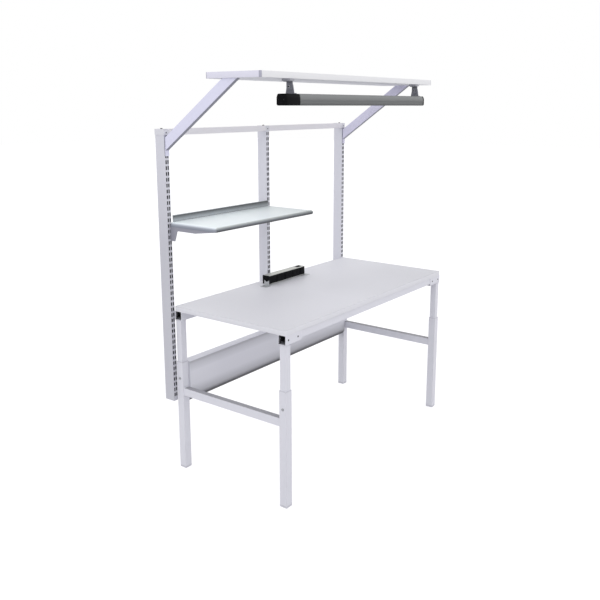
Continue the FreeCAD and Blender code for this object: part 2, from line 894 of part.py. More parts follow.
for name, x in UPRIGHTS.items():
    make_upright(name, x)
group("upright_caps", [make_cap(x) for x in UPRIGHTS.values()])
group("cap_bolts", [make_cap_bolt(x) for x in UPRIGHTS.values()])
group("upright_mounts", [make_mount(*spot) for spot in mount_places()])
mount_walls = [d.head_wall, d.rail_wall, d.head_wall]
group("mount_bolts", [
    item for spot, wall in zip(mount_places(), mount_walls) for item in make_mount_bolts(*spot, wall)
])
make_top_rail("left", -upright_x + cap_half, -cap_half)
make_top_rail("right", cap_half, upright_x - cap_half)


# Hooks that drop behind the slotted wall

def add_hooks(owner, x, heights):
    back = upright_front + d.upright_wall + d.hook_play
    root = upright_front - d.hook_sheet
    for height in heights:
        bottom = height - d.slot_height / 2
        top = bottom + d.hook_neck
        profile = [
            (root, bottom), (back, bottom), (back, bottom - d.hook_drop),
            (back + d.hook_thick, bottom - d.hook_drop), (back + d.hook_thick, top), (root, top),
        ]
        pad(owner, "X", [profile], x - d.hook_sheet / 2, d.hook_sheet)


# Cantilever arms and the upper shelf

arm_face = upright_front - d.arm_plate_thick
arm_plate_top = cap_top - d.cap_height - d.arm_plate_gap
arm_plate_bottom = slot_z(d.arm_slot + d.arm_slot_step) - d.arm_plate_drop
arm_slope = sine(d.arm_angle) / cosine(d.arm_angle)
arm_low = arm_plate_bottom + d.arm_foot
arm_high = arm_low + d.arm_depth / cosine(d.arm_angle)
arm_skin = d.arm_wall / cosine(d.arm_angle)
upper_shelf_under = arm_low + d.arm_rise
upper_shelf_length = (upright_x + upright_half + d.upper_shelf_overhang) * 2


def arm_y(start_z):
    # Where an arm edge that leaves the plate at start_z meets the shelf's underside.
    return arm_face - (upper_shelf_under - start_z) / arm_slope


arm_top_middle = (arm_y(arm_low) + arm_y(arm_high)) / 2
upper_shelf_middle = arm_top_middle - d.upper_shelf_lead
upper_shelf_front = upper_shelf_middle - d.upper_shelf_depth / 2


def make_arm(side):
    x = upright_x * SIDES[side]
    plate = rectangle((arm_face, arm_plate_bottom), (upright_front, arm_plate_top))
    arm = prism(f"arm_{side}", "X", [plate], x - upright_half, d.upright_width)
    start = x - d.arm_width / 2
    shelf = upper_shelf_under
    tube = [
        (upright_front, arm_low), (arm_face, arm_low), (arm_y(arm_low), shelf), (arm_y(arm_high), shelf),
        (arm_face, arm_high), (upright_front, arm_high),
    ]
    pad(arm, "X", [tube], start, d.arm_width)
    low = arm_low + arm_skin
    high = arm_high - arm_skin
    hollow = [(arm_face, low), (arm_y(low), shelf), (arm_y(high), shelf), (arm_face, high)]
    pocket(arm, "X", [hollow], start + d.arm_wall, d.arm_width - d.arm_wall * 2)
    heights = [slot_z(d.arm_slot), slot_z(d.arm_slot + d.arm_slot_step)]
    for sign in (-1, 1):
        add_hooks(arm, x + d.slot_offset * sign, heights)
    node(arm, arm.Label)


for side in SIDES:
    make_arm(side)
make_board(
    "upper_shelf", upper_shelf_middle, upper_shelf_length, d.upper_shelf_depth,
    d.upper_shelf_corner, upper_shelf_under, d.upper_shelf_thick,
)


# Lower shelf between the left and middle uprights

shelf_top = slot_z(d.shelf_slot) + d.shelf_rise
shelf_rear = upright_front - d.shelf_rear_gap
shelf_front = shelf_rear - d.shelf_depth
bracket_places = {"left": d.slot_offset - upright_x, "right": -d.slot_offset}
bracket_cover = d.hook_sheet / 2 + d.shelf_sheet
shelf_left = bracket_places["left"] - bracket_cover
shelf_right = bracket_places["right"] + bracket_cover


def shelf_block(inset, rear):
    # The block inside the shelf's outline, drawn in by the inset: a round front and two round sides.
    low = shelf_top - d.shelf_drop + inset
    high = shelf_top - inset
    front = shelf_front + inset
    left = shelf_left + inset
    right = shelf_right - inset
    bend = d.shelf_bend - inset
    along = prism("shelf_front", "X", [rectangle((front, low), (rear, high))], left, right - left)
    round_corners(along, "X", [(front, low), (front, high)], bend)
    deep = prism("shelf_sides", "Y", [rectangle((left, low), (right, high))], front, rear - front)
    round_corners(deep, "Y", [(left, high), (right, high)], bend)
    return shared(along, deep)


def make_lower_shelf():
    # A sheet bent down at the front and sides, with a return under the nose and a folded lip behind.
    thick = d.shelf_sheet
    low = shelf_top - d.shelf_drop
    inner_return = shelf_front + d.shelf_front_return
    mouth_outline = rectangle((inner_return, low), (upright_front, low + thick))
    room = shelf_right - shelf_left - thick * 2
    mouth = prism("shelf_mouth", "X", [mouth_outline], shelf_left + thick, room)
    hollow = fused(shelf_block(thick, upright_front), mouth)
    shell = cut_out(shelf_block(sized(0), shelf_rear), hollow)
    lip_top = shelf_top + d.shelf_lip
    lip_in = shelf_rear - thick
    fold = shelf_rear - d.shelf_lip_fold
    lip_outline = [
        (shelf_rear, shelf_top), (shelf_rear, lip_top), (fold, lip_top),
        (fold, lip_top - thick), (lip_in, lip_top - thick), (lip_in, shelf_top),
    ]
    lip_start = shelf_left + d.shelf_bend
    lip = prism("shelf_lip", "X", [lip_outline], lip_start, shelf_right - d.shelf_bend - lip_start)
    node(fused(shell, lip), "lower_shelf")


def make_shelf_bracket(side):
    x = bracket_places[side]
    top = shelf_top - d.shelf_bend
    front = shelf_front + d.bracket_front_gap
    web = top - d.bracket_web
    foot = slot_z(d.shelf_slot + d.shelf_slot_step) - d.bracket_leg_drop
    profile = [
        (upright_front, top), (front, top), (front, top - d.bracket_nose),
        (front + d.bracket_taper, web), (upright_front - d.bracket_leg, web),
        (upright_front - d.bracket_leg_foot, foot), (upright_front, foot),
    ]
    bracket = prism(f"shelf_bracket_{side}", "X", [profile], x - d.hook_sheet / 2, d.hook_sheet)
    add_hooks(bracket, x, [slot_z(d.shelf_slot), slot_z(d.shelf_slot + d.shelf_slot_step)])
    node(bracket, bracket.Label)


make_lower_shelf()
for side in bracket_places:
    make_shelf_bracket(side)


# Mains socket strip

strip_left = d.strip_x - d.strip_length / 2
strip_right = d.strip_x + d.strip_length / 2
strip_rear = half_depth - d.strip_rear_gap
strip_front = strip_rear - d.strip_depth
strip_bottom = d.worktop_height + d.strip_raise
strip_top = strip_bottom + d.strip_height
switch_x = strip_right - d.switch_inset
switch_y = strip_front + d.strip_depth / 2
switch_hole = (d.switch_length - d.switch_flange * 2, d.switch_width - d.switch_flange * 2)
switch_skirt = (switch_hole[0] - d.plug_fit * 2, switch_hole[1] - d.plug_fit * 2)
switch_room = (switch_skirt[0] - d.switch_wall * 2, switch_skirt[1] - d.switch_wall * 2)
rocker_pivot = (switch_x, strip_top - d.switch_pivot_depth)


def make_strip_body():
    wall = d.strip_wall
    profile = [
        (strip_front, strip_top), (strip_front, strip_top - wall), (strip_rear - wall, strip_top - wall),
        (strip_rear - wall, strip_bottom + wall), (strip_front, strip_bottom + wall),
        (strip_front, strip_bottom), (strip_rear, strip_bottom), (strip_rear, strip_top),
    ]
    length = d.strip_length - d.strip_cap * 2
    start = strip_left + d.strip_cap
    body = prism("strip_housing", "X", [profile], start, length)
    grooves = [
        rectangle((y, strip_top - d.strip_groove_depth), (y + d.strip_groove, strip_top))
        for y in (strip_front + d.strip_groove_inset - d.strip_groove, strip_rear - d.strip_groove_inset)
    ]
    pocket(body, "X", grooves, start, length)
    opening = centred((switch_x, switch_y), *switch_hole)
    pocket(body, "Z", [opening], strip_top - wall, wall)
    node(body, body.Label)


def make_fascia():
    wall = d.strip_wall
    low = (strip_left + d.strip_cap, strip_bottom + wall)
    high = (strip_right - d.strip_cap, strip_top - wall)
    fascia = prism("strip_fascia", "Y", [rectangle(low, high)], strip_front, d.fascia_thick)
    first = d.strip_x - d.outlet_pitch * (d.outlet_count - 1) / 2
    middle_z = strip_bottom + d.strip_height / 2
    recess = drill(fascia, "Y", [(first, middle_z)], d.outlet_radius, strip_front, d.outlet_recess)
    repeat(fascia, recess, "X_Axis", d.outlet_pitch, d.outlet_count)
    pins = [(first + d.outlet_pin_offset * sign, middle_z) for sign in (-1, 1)]
    holes = punch(fascia, "Y", pins, d.outlet_pin_radius, NUT, strip_front, d.fascia_thick)
    repeat(fascia, holes, "X_Axis", d.outlet_pitch, d.outlet_count)
    node(fascia, fascia.Label)


def make_sockets():
    # Contact blocks behind the outlets, standing on the housing's floor under the switch.
    first = d.strip_x - d.outlet_pitch * (d.outlet_count - 1) / 2
    floor = strip_bottom + d.strip_wall
    half = d.socket_width / 2
    items = []
    for index in range(round(d.outlet_count.value)):
        middle = first + d.outlet_pitch * index
        outline = rectangle((middle - half, floor), (middle + half, floor + d.socket_height))
        items.append(prism("socket", "Y", [outline], strip_front + d.fascia_thick, d.socket_depth))
    group("strip_sockets", items)


def make_strip_cap(side):
    outline = rectangle((strip_front, strip_bottom), (strip_rear, strip_top))
    start = strip_left if side == "left" else strip_right - d.strip_cap
    return prism("strip_cap", "X", [outline], start, d.strip_cap)


def make_strip_foot(side):
    # A small angle plate with a notched ear against the strip's end.
    thick = d.strip_foot_sheet
    face = strip_left - thick if side == "left" else strip_right
    base = strip_left - d.strip_foot_reach if side == "left" else strip_right
    low = strip_front - d.strip_foot_lead
    high = low + d.strip_foot_width
    bottom = d.worktop_height
    top = bottom + d.strip_foot_height
    plate = rectangle((base, low), (base + d.strip_foot_reach, high))
    foot = prism(f"strip_foot_{side}", "Z", [plate], bottom, thick)
    middle = (strip_front + high) / 2
    ear = [
        (strip_front, bottom), (high, bottom), (high, top),
        (middle, top - d.strip_foot_notch), (strip_front, top),
    ]
    pad(foot, "X", [ear], face, thick)
    node(foot, foot.Label)


def make_switch():
    outer = centred((switch_x, switch_y), d.switch_length, d.switch_width)
    skirt = centred((switch_x, switch_y), *switch_skirt)
    room = centred((switch_x, switch_y), *switch_room)
    frame = prism("switch_frame", "Z", [outer, room], strip_top, d.switch_rim)
    pad(frame, "Z", [skirt, room], strip_top - d.switch_skirt, d.switch_skirt)
    hole = d.rocker_pin_radius + d.pivot_fit
    half = switch_room[1] / 2 + d.switch_wall
    drill(frame, "Y", [rocker_pivot], hole, switch_y - half, half * 2)
    node(frame, frame.Label)


def tilted(across_x, up):
    # A point of the rocker, turned about its pivot to the off position.
    turn_c = cosine(d.rocker_tilt)
    turn_s = sine(d.rocker_tilt)
    along = across_x * turn_c - up * turn_s
    rise = across_x * turn_s + up * turn_c
    return (rocker_pivot[0] + along, rocker_pivot[1] + rise)


def make_rocker():
    half = switch_room[0] / 2 - d.rocker_end_gap
    width = switch_room[1] - d.rocker_side_gap * 2
    profile = [
        tilted(-half, d.rocker_crown), tilted(-half, -d.rocker_belly), tilted(half, -d.rocker_belly),
        tilted(half, d.rocker_crown), tilted(sized(0), d.rocker_dish + d.switch_rim),
    ]
    rocker = prism("switch_rocker", "Y", [profile], switch_y - width / 2, width)
    pin = switch_room[1] / 2 + d.switch_wall
    pad_disc(rocker, "Y", rocker_pivot, d.rocker_pin_radius, switch_y - pin, pin * 2)
    node(rocker, rocker.Label)


make_strip_body()
make_fascia()
make_sockets()
group("strip_end_caps", [make_strip_cap(side) for side in SIDES])
for side in SIDES:
    make_strip_foot(side)
make_switch()
make_rocker()


# Task light on two friction pivots

lamp_left = d.lamp_x - d.lamp_length / 2
lamp_right = d.lamp_x + d.lamp_length / 2
lamp_y = upper_shelf_front + d.lamp_setback
lamp_top = upper_shelf_under - d.lamp_drop
lamp_bottom = lamp_top - d.lamp_height
lamp_start = lamp_left + d.lamp_driver_length
lamp_end = lamp_right - d.lamp_cap_length
pivot_z = lamp_top + d.pivot_rise
hanger_faces = {"left": lamp_left + d.hanger_inset, "right": lamp_right - d.hanger_inset}


def lamp_outline():
    half = d.lamp_depth / 2
    crown = d.lamp_top_width / 2
    shoulder = lamp_top - d.lamp_shoulder
    return [
        (lamp_y - half, lamp_bottom), (lamp_y + half, lamp_bottom), (lamp_y + half, shoulder),
        (lamp_y + crown, lamp_top), (lamp_y - crown, lamp_top), (lamp_y - half, shoulder),
    ]


def lamp_section(label, start, length):
    section = prism(label, "X", [lamp_outline()], start, length)
    round_corners(section, "X", lamp_outline()[:2], d.lamp_corner)
    return section


def make_lamp_body():
    body = lamp_section("lamp_body", lamp_start, lamp_end - lamp_start)
    half = d.lamp_depth / 2
    wall = d.lamp_wall
    room = half - wall
    mouth = room - d.lamp_lip
    ledge = lamp_bottom + d.lamp_corner
    web = lamp_bottom + d.lamp_web
    below = [
        (lamp_y - mouth, lamp_bottom), (lamp_y + mouth, lamp_bottom), (lamp_y + mouth, ledge),
        (lamp_y + room, ledge), (lamp_y + room, web), (lamp_y - room, web), (lamp_y - room, ledge),
        (lamp_y - mouth, ledge),
    ]
    crown = d.lamp_top_width / 2 - wall
    shoulder = lamp_top - d.lamp_shoulder
    above = [
        (lamp_y - room, web + wall), (lamp_y + room, web + wall), (lamp_y + room, shoulder),
        (lamp_y + crown, lamp_top - wall), (lamp_y - crown, lamp_top - wall), (lamp_y - room, shoulder),
    ]
    pocket(body, "X", [below, above], lamp_start, lamp_end - lamp_start)
    node(body, body.Label)


def make_lamp_inside():
    room = d.lamp_depth / 2 - d.lamp_wall - d.diffuser_fit
    ledge = lamp_bottom + d.lamp_corner
    span = lamp_end - lamp_start
    pane = rectangle((lamp_y - room, ledge), (lamp_y + room, ledge + d.diffuser_thick))
    diffuser = prism("lamp_diffuser", "X", [pane], lamp_start, span)
    node(diffuser, diffuser.Label)
    web = lamp_bottom + d.lamp_web
    half = d.board_width / 2
    strip = rectangle((lamp_y - half, web - d.board_thick), (lamp_y + half, web))
    board = prism("lamp_led_board", "X", [strip], lamp_start, span)
    node(board, board.Label)


def pivot_end(way):
    # Four corners of a plate's free end beyond the pivot: below it for -1, above it for 1.
    half = d.hanger_width / 2
    near = half - d.hanger_chamfer
    return [
        (lamp_y - half, pivot_z + near * way), (lamp_y - near, pivot_z + half * way),
        (lamp_y + near, pivot_z + half * way), (lamp_y + half, pivot_z + near * way),
    ]


def make_hanger(side):
    face = hanger_faces[side]
    half = d.hanger_width / 2
    pad_bottom = upper_shelf_under - d.hanger_pad
    start = face - d.hanger_sheet
    plate = [(lamp_y - half, pad_bottom), *pivot_end(-1), (lamp_y + half, pad_bottom)]
    hanger = prism(f"lamp_hanger_{side}", "X", [plate], start, d.hanger_sheet)
    flange_start = face - d.hanger_flange
    flange = rectangle((lamp_y - half, pad_bottom - d.hanger_sheet), (lamp_y + half, pad_bottom))
    pad(hanger, "X", [flange], flange_start, d.hanger_flange)
    drill(hanger, "X", [(lamp_y, pivot_z)], d.pivot_radius + d.pivot_fit, start, d.hanger_sheet)
    node(hanger, hanger.Label)


def make_hanger_pad(side):
    face = hanger_faces[side]
    low = face - d.hanger_flange - d.hanger_sheet
    half = d.lamp_top_width / 2
    outline = rectangle((low, lamp_y - half), (face + d.hanger_sheet, lamp_y + half))
    return prism("hanger_pad", "Z", [outline], upper_shelf_under - d.hanger_pad, d.hanger_pad)


def make_clip(side):
    start = hanger_faces[side] + d.swing_gap
    foot = d.lamp_top_width / 2
    plate = [(lamp_y - foot, lamp_top), *pivot_end(1), (lamp_y + foot, lamp_top)]
    clip = prism("lamp_clip", "X", [plate], start, d.hanger_sheet)
    flange = rectangle((lamp_y - foot, lamp_top), (lamp_y + foot, lamp_top + d.hanger_sheet))
    pad(clip, "X", [flange], start, d.clip_flange)
    drill(clip, "X", [(lamp_y, pivot_z)], d.pivot_radius + d.pivot_fit, start, d.hanger_sheet)
    return clip


def make_pivot_screw(side):
    face = hanger_faces[side]
    knob_face = face + d.swing_gap * 2 + d.hanger_sheet
    nut_face = face - d.hanger_sheet
    reach = knob_face - nut_face + d.pivot_nut_thick
    at = (knob_face, lamp_y, pivot_z)
    knob = polygon((1, 0, 0), at, d.pivot_knob_radius, d.pivot_knob_length, HEAD)
    shank = cylinder((-1, 0, 0), at, d.pivot_radius, reach)
    nut = polygon((-1, 0, 0), (nut_face, lamp_y, pivot_z), d.pivot_nut_radius, d.pivot_nut_thick, NUT)
    return fused(knob, shank, nut)


make_lamp_body()
make_lamp_inside()
for label, start, length in (
    ("lamp_driver_box", lamp_left, d.lamp_driver_length),
    ("lamp_end_cap", lamp_end, d.lamp_cap_length),
):
    node(lamp_section(label, start, length), label)
for side in SIDES:
    make_hanger(side)
group("lamp_clips", [make_clip(side) for side in SIDES])
group("lamp_hanger_pads", [make_hanger_pad(side) for side in SIDES])
group("lamp_pivot_screws", [make_pivot_screw(side) for side in SIDES])


# Every object has to be sound before anything is written.

doc.recompute()
for item in doc.Objects:
    if "Invalid" in item.State or "Error" in item.State:
        raise RuntimeError(f"{item.Label} failed: {item.State}")
for item in nodes:
    if item.Shape.isNull() or not item.Shape.isValid():
        raise RuntimeError(f"{item.Label} has no valid shape")
    if not item.Shape.Solids:
        raise RuntimeError(f"{item.Label} has no solid")

os.makedirs("parts", exist_ok=True)
for item in nodes:
    item.Shape.exportStep(f"parts/{item.Label}.step")
print(f"{len(nodes)} sub-parts written")
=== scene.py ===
import bmesh
import bpy
import json
import math
import numpy as np
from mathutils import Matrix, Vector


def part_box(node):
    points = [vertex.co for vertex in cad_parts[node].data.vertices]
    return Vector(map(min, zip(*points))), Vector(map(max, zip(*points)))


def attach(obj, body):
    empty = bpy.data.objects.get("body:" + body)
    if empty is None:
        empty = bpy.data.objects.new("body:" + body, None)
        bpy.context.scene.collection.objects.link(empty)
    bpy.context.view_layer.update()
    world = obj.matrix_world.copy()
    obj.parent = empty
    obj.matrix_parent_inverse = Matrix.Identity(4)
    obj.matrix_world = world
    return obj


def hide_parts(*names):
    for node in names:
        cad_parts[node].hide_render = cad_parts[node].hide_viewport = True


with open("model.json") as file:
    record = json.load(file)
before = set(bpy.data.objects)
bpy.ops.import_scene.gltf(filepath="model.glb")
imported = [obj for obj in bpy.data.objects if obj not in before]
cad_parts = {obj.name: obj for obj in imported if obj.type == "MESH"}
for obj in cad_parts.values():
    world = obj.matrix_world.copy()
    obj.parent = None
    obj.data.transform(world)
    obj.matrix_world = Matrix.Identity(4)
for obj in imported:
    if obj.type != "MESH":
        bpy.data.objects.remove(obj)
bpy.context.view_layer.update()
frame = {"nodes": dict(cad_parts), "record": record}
nodes = frame["nodes"]
mm = 0.001  # the frame is in metres, the settings below are in millimetres
print("frame loaded:", len(nodes), "nodes")


# colours and shader nodes

def hexToLinear(text):
    channels = [int(text[at:at + 2], 16) / 255 for at in (1, 3, 5)]
    return [c / 12.92 if c <= 0.04045 else ((c + 0.055) / 1.055) ** 2.4 for c in channels] + [1.0]


def addNode(tree, kind, inputs=None, **settings):
    node = tree.nodes.new(kind)
    for name, value in settings.items():
        setattr(node, name, value)
    for name, value in (inputs or {}).items():
        if isinstance(value, bpy.types.NodeSocket):
            tree.links.new(value, node.inputs[name])
        else:
            node.inputs[name].default_value = value
    return node


def newMaterial(name, **surface):
    # an empty material with its shader; surface holds the values that are the same all over
    material = bpy.data.materials.new(name)
    material.use_nodes = True
    tree = material.node_tree
    tree.nodes.clear()
    shader = addNode(tree, "ShaderNodeBsdfPrincipled", surface)
    addNode(tree, "ShaderNodeOutputMaterial", {"Surface": shader.outputs[0]})
    return material, tree, shader


def perMetre(sizeInMm):
    return 1 / (sizeInMm * mm)  # a texture's scale for a pattern of this size


# materials

def graded(tree, colour, value, rows, unit):
    # the colour times a tone that changes with the value; each row is (value, tone)
    first, last = rows[0][0], rows[-1][0]
    share = addNode(tree, "ShaderNodeMapRange", {
        0: value, 1: first * unit, 2: last * unit, 3: 0.0, 4: 1.0})
    ramp = addNode(tree, "ShaderNodeValToRGB", {0: share.outputs[0]})
    stops = ramp.color_ramp.elements
    for at, (place, tone) in enumerate(rows):
        ends = {0: stops[0], len(rows) - 1: stops[-1]}  # looked up anew, because a new stop moves the last
        stop = ends[at] if at in ends else stops.new((place - first) / (last - first))
        stop.color = hexToLinear(tone)
    return addNode(tree, "ShaderNodeMix", {0: 1.0, 6: colour, 7: ramp.outputs[0]}, data_type="RGBA",
                   blend_type="MULTIPLY").outputs[2]


def ramped(tree, colour, place, look):
    # the colour times the look's ramps of tone along Z, Y and X: painted light and shade that evens out the
    # worktop's shading, painted shade on folds, bends and the lamp's lower face, and darker rail end faces
    part = addNode(tree, "ShaderNodeSeparateXYZ", {0: place})
    for rows, axis in (("heights", "Z"), ("depths", "Y"), ("lengths", "X")):
        if rows in look:
            colour = graded(tree, colour, part.outputs[axis], look[rows], mm)
    return colour


def facing(tree):
    # the parts of the direction that the surface faces
    way = addNode(tree, "ShaderNodeNewGeometry").outputs["Normal"]
    return addNode(tree, "ShaderNodeSeparateXYZ", {0: way}).outputs


def toned(tree, share, look):
    # a colour between the look's shade and its light
    return addNode(tree, "ShaderNodeMix", {
        0: share, 6: hexToLinear(look["shade"]), 7: hexToLinear(look["light"])}, data_type="RGBA").outputs[2]


def slotShadeRims(tree, place, rows):
    # 1 on a rim round each slot, where painted shade goes: two lines beside each upright's middle, repeated
    # along Z
    part = addNode(tree, "ShaderNodeSeparateXYZ", {0: place})
    across = addNode(tree, "ShaderNodeMath", {
        0: part.outputs["X"], 1: rows["uprightsMm"] / 2 * mm}, operation="PINGPONG")
    along = addNode(tree, "ShaderNodeMath", {
        0: part.outputs["Z"], 1: rows["topMm"] * mm}, operation="SUBTRACT")
    along = addNode(tree, "ShaderNodeMath", {
        0: along.outputs[0], 1: rows["pitchMm"] / 2 * mm}, operation="PINGPONG")
    tests = ((across.outputs[0], rows["offsetMm"], rows["widthMm"] / 2 + rows["sideRimMm"]),
             (along.outputs[0], 0, rows["heightMm"] / 2 + rows["endRimMm"]),
             (part.outputs["Y"], rows["frontMm"], rows["faceMm"]),
             (part.outputs["Z"], (rows["topMm"] + rows["lowestMm"]) / 2,
              (rows["topMm"] - rows["lowestMm"] + rows["pitchMm"]) / 2))
    share = None
    for value, middle, reach in tests:
        near = addNode(tree, "ShaderNodeMath", {
            0: value, 1: middle * mm, 2: reach * mm}, operation="COMPARE")
        share = near if share is None else addNode(
            tree, "ShaderNodeMath", {0: share.outputs[0], 1: near.outputs[0]}, operation="MULTIPLY")
    return share.outputs[0]


def powderCoat(name, look):
    # Powder-coated steel: baked polyester paint, satin, with a fine orange peel and soft rounded
    # edges. The peel is finer than the picture shows, so it is drawn a little coarser. Painted shade:
    # the coat turns a dark tone where ambient occlusion finds hollows, inside the tubes and behind
    # the slots.
    material, tree, shader = newMaterial(name, **{"IOR": 1.5})
    place = addNode(tree, "ShaderNodeTexCoord").outputs["Object"]
    peel = addNode(tree, "ShaderNodeTexNoise", {
        "Vector": place, "Scale": perMetre(look["peelMm"]), "Detail": 2.0, "Roughness": 0.4})
    cloud = addNode(tree, "ShaderNodeTexNoise", {
        "Vector": place, "Scale": perMetre(look["cloudMm"]), "Detail": 3.0})
    gloss = addNode(tree, "ShaderNodeMapRange", {
        0: peel.outputs[0], 1: 0.3, 2: 0.7, 3: look["smooth"], 4: look["rough"]})
    # painted shade: where the part's own ambient occlusion is low, in its hollows, the coat darkens
    shelter = addNode(tree, "ShaderNodeAmbientOcclusion", {"Distance": look["reachMm"] * mm}, samples=8,
                      only_local=True)
    inside = addNode(tree, "ShaderNodeMapRange", {
        0: shelter.outputs["AO"], 1: look["shadeBelowOcclusion"] - 0.2, 2: look["shadeBelowOcclusion"], 3: 1.0, 4: 0.0})
    outer = toned(tree, cloud.outputs[0], look)
    if "facing" in look:  # painted shade by the way a face points: undersides, tops under the worktop and the shelf's folds in a darker tone than the rest
        outer = graded(tree, outer, facing(tree)["Z"], look["facing"], 1.0)
    # ramps of tone along Z, Y and X: painted shade and light where a look has them
    outer = ramped(tree, outer, place, look)
    paintedShadeShare = inside.outputs[0]
    # painted shade on a rim round each slot, so the slots look darker and wider
    if "slots" in look:
        paintedShadeShare = addNode(tree, "ShaderNodeMath", {
            0: paintedShadeShare, 1: slotShadeRims(tree, place, look["slots"])}, operation="MAXIMUM").outputs[0]
    coat = addNode(tree, "ShaderNodeMix", {
        0: paintedShadeShare, 6: outer, 7: hexToLinear(look["hollowShade"])}, data_type="RGBA")
    edge = addNode(tree, "ShaderNodeBevel", {"Radius": look["edgeMm"] * mm}, samples=4)
    bump = addNode(tree, "ShaderNodeBump", {
        "Strength": look["bump"], "Distance": 0.2 * mm, "Height": peel.outputs[0],
        "Normal": edge.outputs[0]})
    tree.links.new(coat.outputs[2], shader.inputs["Base Color"])
    tree.links.new(gloss.outputs[0], shader.inputs["Roughness"])
    tree.links.new(bump.outputs[0], shader.inputs["Normal"])
    return material


def laminate(name, look):
    # Static-dissipative laminate: printed paper under melamine, even at a distance, with a faint
    # mottle and dark conductive flecks that show from close by.
    material, tree, shader = newMaterial(name, **{"IOR": 1.5})
    place = addNode(tree, "ShaderNodeTexCoord").outputs["Object"]
    mottle = addNode(tree, "ShaderNodeTexNoise", {
        "Vector": place, "Scale": perMetre(look["mottleMm"]), "Detail": 4.0})
    tone = toned(tree, mottle.outputs[0], look)
    fleck = addNode(tree, "ShaderNodeTexVoronoi", {
        "Vector": place, "Scale": perMetre(look["fleckMm"]), "Randomness": 1.0})
    spot = addNode(tree, "ShaderNodeMapRange", {
        0: fleck.outputs["Distance"], 1: 0.10, 2: 0.16, 3: look["fleckShare"], 4: 0.0})
    mixed = addNode(tree, "ShaderNodeMix", {
        0: spot.outputs[0], 6: tone, 7: hexToLinear(look["fleck"])}, data_type="RGBA")
    # ramps of tone: on the worktop, painted light that lightens it where the shelves above shade it
    colour = ramped(tree, mixed.outputs[2], place, look)
    gloss = addNode(tree, "ShaderNodeMapRange", {
        0: mottle.outputs[0], 1: 0.3, 2: 0.7, 3: look["smooth"], 4: look["rough"]})
    bump = addNode(tree, "ShaderNodeBump", {
        "Strength": 0.05, "Distance": 0.1 * mm, "Height": mottle.outputs[0]})
    tree.links.new(colour, shader.inputs["Base Color"])
    tree.links.new(gloss.outputs[0], shader.inputs["Roughness"])
    tree.links.new(bump.outputs[0], shader.inputs["Normal"])
    return material


def mouldedPlastic(name, look):
    # Injection-moulded ABS: one colour through, with the fine spark-eroded grain of the mould and
    # slightly shinier peaks.
    material, tree, shader = newMaterial(name, **{"IOR": 1.53, "Specular IOR Level": look["sheen"]})
    place = addNode(tree, "ShaderNodeTexCoord").outputs["Object"]
    grain = addNode(tree, "ShaderNodeTexNoise", {
        "Vector": place, "Scale": perMetre(look["grainMm"]), "Detail": 5.0, "Roughness": 0.6})
    colour = toned(tree, grain.outputs[0], look)
    if "ends" in look:  # painted light: a bluish tone on the two end faces, as from a cool light at the side
        colour = graded(tree, colour, facing(tree)["X"], look["ends"], 1.0)
    gloss = addNode(tree, "ShaderNodeMapRange", {
        0: grain.outputs[0], 1: 0.3, 2: 0.7, 3: look["rough"], 4: look["smooth"]})
    edge = addNode(tree, "ShaderNodeBevel", {"Radius": look["edgeMm"] * mm}, samples=4)
    bump = addNode(tree, "ShaderNodeBump", {
        "Strength": look["bump"], "Distance": 0.1 * mm, "Height": grain.outputs[0],
        "Normal": edge.outputs[0]})
    tree.links.new(colour, shader.inputs["Base Color"])
    tree.links.new(gloss.outputs[0], shader.inputs["Roughness"])
    tree.links.new(bump.outputs[0], shader.inputs["Normal"])
    return material


def platedSteel(name, look):
    # Plated or blackened steel: a thin crystalline coat, so the shine breaks up into small patches.
    material, tree, shader = newMaterial(name, **{"Metallic": look["metallic"]})
    place = addNode(tree, "ShaderNodeTexCoord").outputs["Object"]
    patch = addNode(tree, "ShaderNodeTexVoronoi", {
        "Vector": place, "Scale": perMetre(look["patchMm"]), "Randomness": 1.0})
    tone = addNode(tree, "ShaderNodeMix", {
        0: patch.outputs["Distance"], 6: hexToLinear(look["light"]), 7: hexToLinear(look["shade"])},
        data_type="RGBA")
    gloss = addNode(tree, "ShaderNodeMapRange", {
        0: patch.outputs["Distance"], 1: 0.0, 2: 0.8, 3: look["smooth"], 4: look["rough"]})
    tree.links.new(tone.outputs[2], shader.inputs["Base Color"])
    tree.links.new(gloss.outputs[0], shader.inputs["Roughness"])
    return material


def anodisedAluminium(name, look):
    # Anodised extrusion: fine die lines run along the profile and stretch its reflections, and its
    # bends are soft. Real lines are about 0.1 mm apart and are drawn wider here, so that they show.
    material, tree, shader = newMaterial(name, **{"Metallic": look["metallic"]})
    place = addNode(tree, "ShaderNodeTexCoord").outputs["Object"]
    drawn = addNode(tree, "ShaderNodeMapping", {
        "Vector": place, "Scale": (perMetre(look["lineLengthMm"]), perMetre(look["lineMm"]),
                                   perMetre(look["lineMm"]))})
    lines = addNode(tree, "ShaderNodeTexNoise", {
        "Vector": drawn.outputs[0], "Scale": 1.0, "Detail": 3.0, "Roughness": 0.6})
    # ramps of tone: on the lamp, painted shade that darkens its face toward the bottom
    colour = ramped(tree, toned(tree, lines.outputs[0], look), place, look)
    gloss = addNode(tree, "ShaderNodeMapRange", {
        0: lines.outputs[0], 1: 0.3, 2: 0.7, 3: look["smooth"], 4: look["rough"]})
    edge = addNode(tree, "ShaderNodeBevel", {"Radius": look["edgeMm"] * mm}, samples=8)
    bump = addNode(tree, "ShaderNodeBump", {
        "Strength": 0.1, "Distance": 0.05 * mm, "Height": lines.outputs[0], "Normal": edge.outputs[0]})
    tree.links.new(colour, shader.inputs["Base Color"])
    tree.links.new(gloss.outputs[0], shader.inputs["Roughness"])
    tree.links.new(bump.outputs[0], shader.inputs["Normal"])
    return material


